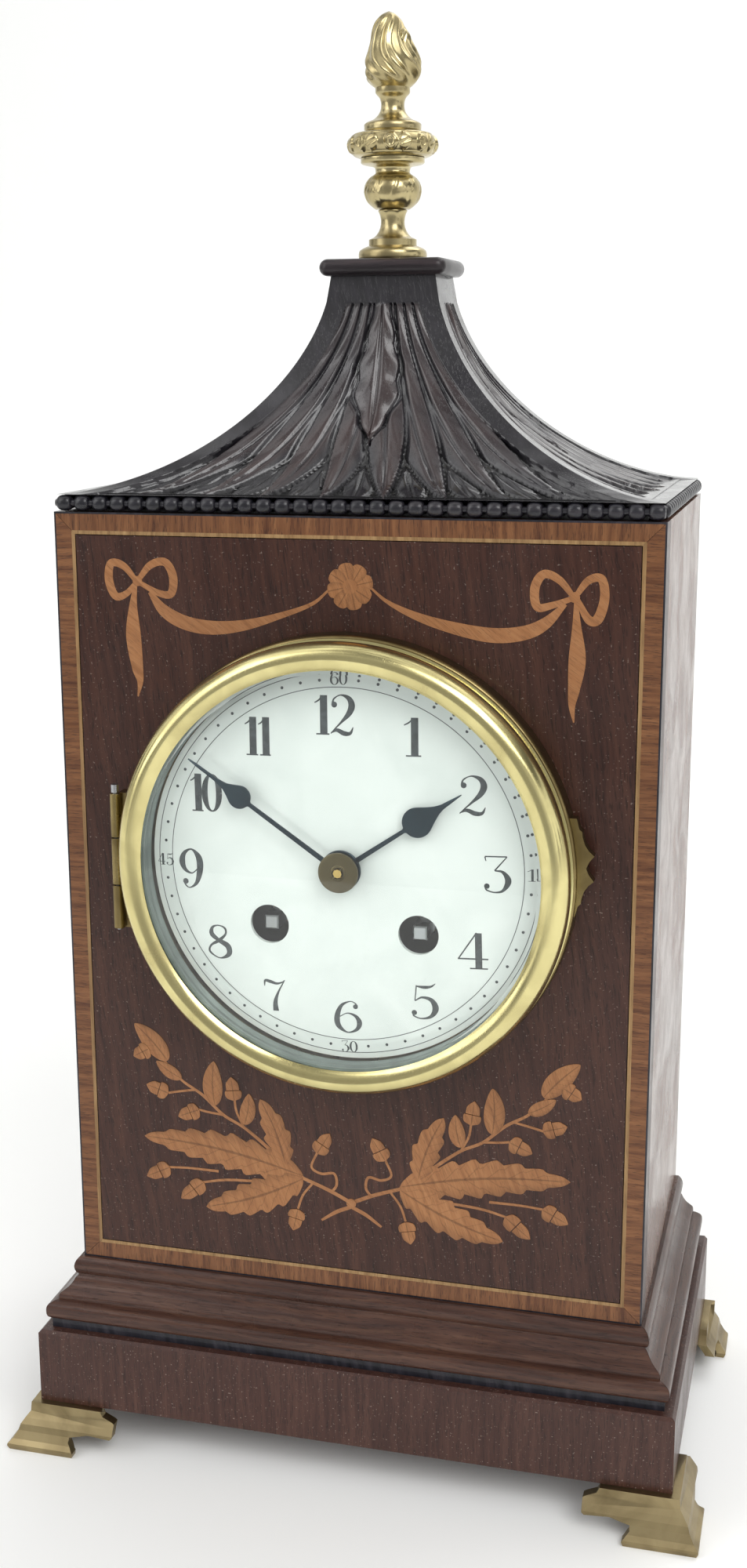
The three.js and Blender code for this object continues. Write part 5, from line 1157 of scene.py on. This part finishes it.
# share of its box that the first figure of a pair takes
firstShare = {"10": 0.4, "11": 0.5, "12": 0.36}
pairGap = 0.25
smallBox = {"left": 2.1, "right": 0.2, "pitch": 2.2, "below": 1.55, "above": 1.45}
track = {"circles": (44.5, 48.0), "line": 0.09, "dots": 46.3, "dot": 0.38}


def makePrint():
    ink = []
    for label, (x0, x1, z0, z1) in figures.items():
        if len(label) == 1:
            ink += digit(label, x0, x1, z0, z1)
        else:
            middle = x0 + firstShare[label] * (x1 - x0)
            ink += digit(label[0], x0, middle, z0, z1)
            ink += digit(label[1], middle + pairGap, x1, z0, z1)
    for label, (x, z) in small.items():
        for k, name in enumerate(label):
            x0, x1 = (x - smallBox[end] + k * smallBox["pitch"] for end in ("left", "right"))
            ink += digit(name, x0, x1, z - smallBox["below"], z + smallBox["above"])
    for radius in track["circles"]:
        x, z = onPrint(*circle(0, 0, radius, 180).T)
        line = np.column_stack([x, z, np.full(len(x), track["line"])])
        ink.append(strip(line, inkFace, inkBack, closed=True))
    for minute in range(60):
        if minute % 15:
            turn = math.radians(90 - 6 * minute)
            x, z = onPrint(track["dots"] * math.cos(turn), track["dots"] * math.sin(turn))
            ink.append(disc(x, z, track["dot"], inkFace, inkBack, 10))
    makePiece("dial_print", ink, "ink", smooth=30)


makePrint()

def handPiece(name, node, body, turn, length, bulb, bulbAt, front, pipe):
    # a boss, a thin stem, a pear-shaped bulb and a fine point, slightly domed along the middle
    reach = pipe + 0.3 + 1.4
    rows = [(reach - 0.8, 0.62), (bulbAt - bulb * 1.08, 0.5), (bulbAt - bulb * 0.98, 0.75)]
    for t in np.linspace(-1.1, 0.5, 12):
        rows.append((bulbAt + bulb * math.sin(t), bulb * math.cos(t)))
    rows += [(bulbAt + bulb * 1.1, bulb * 0.52), (bulbAt + bulb * 1.55, bulb * 0.3),
             (bulbAt + bulb * 2.0, 0.62), (bulbAt + bulb * 2.6, 0.45), (length * 0.94, 0.33), (length, 0.12)]
    rows = np.array(rows)
    way = np.array([math.sin(turn), math.cos(turn)])
    path = np.column_stack([rows[:, :1] * way + (0, dialUp), rows[:, 1]])
    blade = strip(path, lambda x, z: np.full_like(x, front + 0.17), lambda x, z: np.full_like(x, front + 0.6),
                  crown=0.15)
    boss = onDial([(pipe + 0.3, front + 0.05), (reach - 0.2, front + 0.05), (reach, front + 0.2),
                   (reach, front + 0.6), (pipe + 0.3, front + 0.6)], segments=64)
    makePiece(name, [blade, boss], "blued", body=body, replaces=[node], smooth=30)


minutes = 50.75
handPiece("minute_blade", "minute_hand", "minute", turn=math.radians(minutes * 6), length=dialR * 0.93,
          bulb=2.9, bulbAt=dialR * 0.93 * 0.66, front=-9.4, pipe=2.2)
handPiece("hour_blade", "hour_hand", "hour", turn=math.radians((1 + minutes / 60) * 30),
          length=dialR * 0.727, bulb=3.7, bulbAt=dialR * 0.727 * 0.64, front=-7.8, pipe=3.3)
colletRing = onDial([
    (1.4, -9.5), (4.8, -9.5), (5.0, -9.65), (4.95, -10.15), (4.5, -10.35), (4.0, -10.3), (2.0, -10.12),
    (1.6, -10.4), (1.4, -10.4)], segments=96)
pin = {"turn": 0.9, "along": [-1.9, -1.85, 1.85, 1.9], "radius": [0.15, 0.28, 0.28, 0.15], "y": -10.42}


def pinRings():
    # a pin with bevelled ends through the end of the arbor
    angle = np.linspace(0, 2 * np.pi, 12, endpoint=False)
    way, lift = np.array([math.cos(pin["turn"]), 0, math.sin(pin["turn"])]), np.array([0, 1, 0])
    along, radius = np.array(pin["along"])[:, None, None], np.array(pin["radius"])[:, None]
    return (along * way + (radius * np.cos(angle))[..., None] * lift
            + (radius * np.sin(angle))[..., None] * np.cross(way, lift) + (0, pin["y"], dialUp))


makePiece("collet_and_pin", [colletRing, tube(pinRings())], "colletBrass", body="minute",
          replaces=["hand_collet"], smooth=40)

square = {"half": 1.75, "bevel": 0.35, "front": -4.0, "back": -1.0}


def makeSquare(label, hand):
    # the square that the key turns reaches nearly to the back of the dial
    x, z = hand * dial["keyX"], dial["keyZ"] + dialUp
    half, bevel = square["half"], square["bevel"]
    rings = []
    for y, h in ((square["back"], half), (square["front"] + bevel, half), (square["front"], half - bevel)):
        rings.append([(x - h, y, z - h), (x + h, y, z - h), (x + h, y, z + h), (x - h, y, z + h)])
    makePiece(label + "_square", tube(np.array(rings)), "steel", body=label + "_winding")


makeSquare("going", 1)
makeSquare("strike", -1)
print("dial print and hands made")

# CAD pieces that are merged and shaded smooth: look, body and angle
feet = ("foot_front_left", "foot_front_right", "foot_back_left", "foot_back_right")
smoothed = {foot: ("footBrass", "case", 22) for foot in feet}
smoothed.update({
    "bell": ("castBrass", "case", 60), "pendulum_bob": ("castBrass", "pendulum", 60),
    "back_ring": ("brass", "case", 40), "back_door": ("brass", "back_door", 50)})
for nodeName, (lookName, bodyName, angle) in smoothed.items():
    smoothCopy(nodeName, lookName, bodyName, angle)

# the CAD pieces of each look
kept = {
    "field": "front_panel", "sides": "side_panel_left side_panel_right back_panel", "plinth": "plinth",
    "plainWood": "case_top base_board", "crossbandSide": "crossband_frame",
    "moulding": "base_moulding_front", "mouldingSide": "base_moulding_left base_moulding_right",
    "ebony": "ebony_fillet roof roof_cap", "beads": "bead_strip_front bead_strip_left bead_strip_right",
    "footBrass": "foot_front_left foot_front_right foot_back_left foot_back_right",
    "castBrass": "finial_foot finial_knop finial_wreath finial_flame hand_collet bell pendulum_bob",
    "brass": "dial_ring bezel back_ring back_door", "darkBrass": "front_plate", "glass": "bezel_glass",
    "silvered": "sight_ring", "enamel": "dial_plate", "blued": "minute_hand hour_hand",
    "plateBrass": "centre_arbor intermediate_wheel third_wheel escape_wheel going_barrel strike_barrel "
                  "cannon_pinion minute_wheel hour_wheel back_plate suspension_cock bell_post "
                  "strap_left strap_right",
    "steel": "finial_rod hinge_pin pendulum_rod pallets hammer going_winding_arbor strike_winding_arbor",
}
for lookName, nodeNames in kept.items():
    for nodeName in nodeNames.split():
        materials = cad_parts[nodeName].data.materials
        materials.clear()
        materials.append(looks[lookName])
print("kept pieces painted")

# the focal length and the middle of the lens are in pixels of the frame; the place is in metres
# from the middle of the case's bottom front edge, and the turns are in radians
camera = {
    "frame": (953, 2000), "sensor": 36, "focal": 2346.19, "middle": (448.22, 994.43),
    "place": (0.11519, -0.42163, 0.23732), "yaw": 0.265297, "pitch": 0.227158, "roll": -0.005723,
}


def makeCamera(c):
    data = bpy.data.cameras.new("camera")
    eye = bpy.data.objects.new("camera", data)
    bpy.context.scene.collection.objects.link(eye)
    width, height = c["frame"]
    data.sensor_fit = "AUTO"
    data.sensor_width = c["sensor"]
    data.lens = c["focal"] / height * c["sensor"]
    data.shift_x = (width / 2 - c["middle"][0]) / height
    data.shift_y = (c["middle"][1] - height / 2) / height
    data.clip_start, data.clip_end = 0.01, 20
    sy, cy, sp, cp = math.sin(c["yaw"]), math.cos(c["yaw"]), math.sin(c["pitch"]), math.cos(c["pitch"])
    forward = Vector((-sy * cp, cy * cp, -sp))
    right = Vector((cy, sy, 0))
    up = right.cross(forward)
    cr, sr = math.cos(c["roll"]), math.sin(c["roll"])
    tiltedRight, tiltedUp = right * cr + up * sr, up * cr - right * sr
    turn = Matrix((tiltedRight, tiltedUp, -forward)).transposed().to_4x4()
    eye.matrix_world = Matrix.Translation(Vector(c["place"]) + Vector((0, caseFront, caseBottom))) @ turn
    bpy.context.scene.camera = eye


def areaLamp(name, place, size, power):
    data = bpy.data.lights.new(name, "AREA")
    data.shape = "RECTANGLE"
    data.size, data.size_y = size
    data.energy = power
    lamp = bpy.data.objects.new(name, data)
    bpy.context.scene.collection.objects.link(lamp)
    lamp.location = place
    lamp.rotation_mode = "QUATERNION"
    lamp.rotation_quaternion = (lampAim - Vector(place)).to_track_quat("-Z", "Y")


def floorMaterial():
    material, tree, shader, place = newMaterial("paleFloor")
    soft = noise(tree, place, 3.0, 2.0)
    tint = ramp(tree, soft, [(0.2, (0.98, 0.985, 0.972, 1)), (0.8, (0.992, 0.996, 0.985, 1))])
    setInputs(shader, BaseColor=tint, Roughness=0.9)
    return material


sweep = {"near": -0.6, "far": 1.6, "bend": 0.9, "top": 3.2, "half": 3, "columns": 9}


def makeFloor():
    # a floor that curves up into a backdrop: flat, a quarter circle, then upright
    far, bend, columns = sweep["far"], sweep["bend"], sweep["columns"]
    angle = np.linspace(0, math.pi / 2, 17)[1:]
    arc = np.stack([far - bend + bend * np.sin(angle), bend - bend * np.cos(angle)], -1)
    line = np.concatenate([[[sweep["near"], 0], [0, 0], [far - bend, 0]], arc, [[far, sweep["top"]]]])
    x = np.linspace(-sweep["half"], sweep["half"], columns)
    points = np.stack(np.broadcast_arrays(x, line[:, :1], line[:, 1:]), -1)
    mesh = bpy.data.meshes.new("floor")
    mesh.from_pydata(points.reshape(-1, 3).tolist(), [], gridFaces(len(line), columns).tolist())
    mesh.shade_smooth()
    mesh.materials.append(floorMaterial())
    floor = bpy.data.objects.new("floor", mesh)
    bpy.context.scene.collection.objects.link(floor)


def makeWorld():
    world = bpy.data.worlds.new("studio")
    bpy.context.scene.world = world
    world.use_nodes = True
    tree = world.node_tree
    path = addNode(tree, "LightPath").outputs
    place = addNode(tree, "TexCoord").outputs["Generated"]
    way = addNode(tree, "SeparateXYZ", Vector=place).outputs
    # reflections see a room with light and dark parts; diffuse light comes evenly from all sides
    patchy = level(tree, noise(tree, place, 3.1, 1.0), 0.42, 0.58, 0.05, 1.15)
    # the room is dimmer where the viewer stands and brighter overhead
    dim = mixNumber(tree, level(tree, way[1], -0.95, -0.6, 1.0, 0.0), patchy, 0.4)
    lit = maths(tree, "ADD", dim, level(tree, way[2], 0.3, 0.75, 0.0, 0.25))
    even = mixNumber(tree, path["Is Glossy Ray"], 0.6, lit)
    seen = maths(tree, "MAXIMUM", path["Is Camera Ray"], path["Is Transmission Ray"])
    strength = mixNumber(tree, seen, even, 1.0)
    setInputs(tree.nodes["Background"], Color=(1, 1, 1, 1), Strength=strength)


lampAim = Vector((0, 0, 0.2))
makeCamera(camera)
makeFloor()
makeWorld()
areaLamp("keyLamp", (1.1, -1.5, 1.7), size=(1.4, 1.4), power=26)
areaLamp("fillLamp", (-1.5, -1.2, 1.0), size=(1.2, 1.8), power=12)
areaLamp("backLamp", (0.6, 1.0, 1.8), size=(1.6, 1.0), power=10)
bpy.context.scene.view_settings.view_transform = "Standard"
print("stage made")
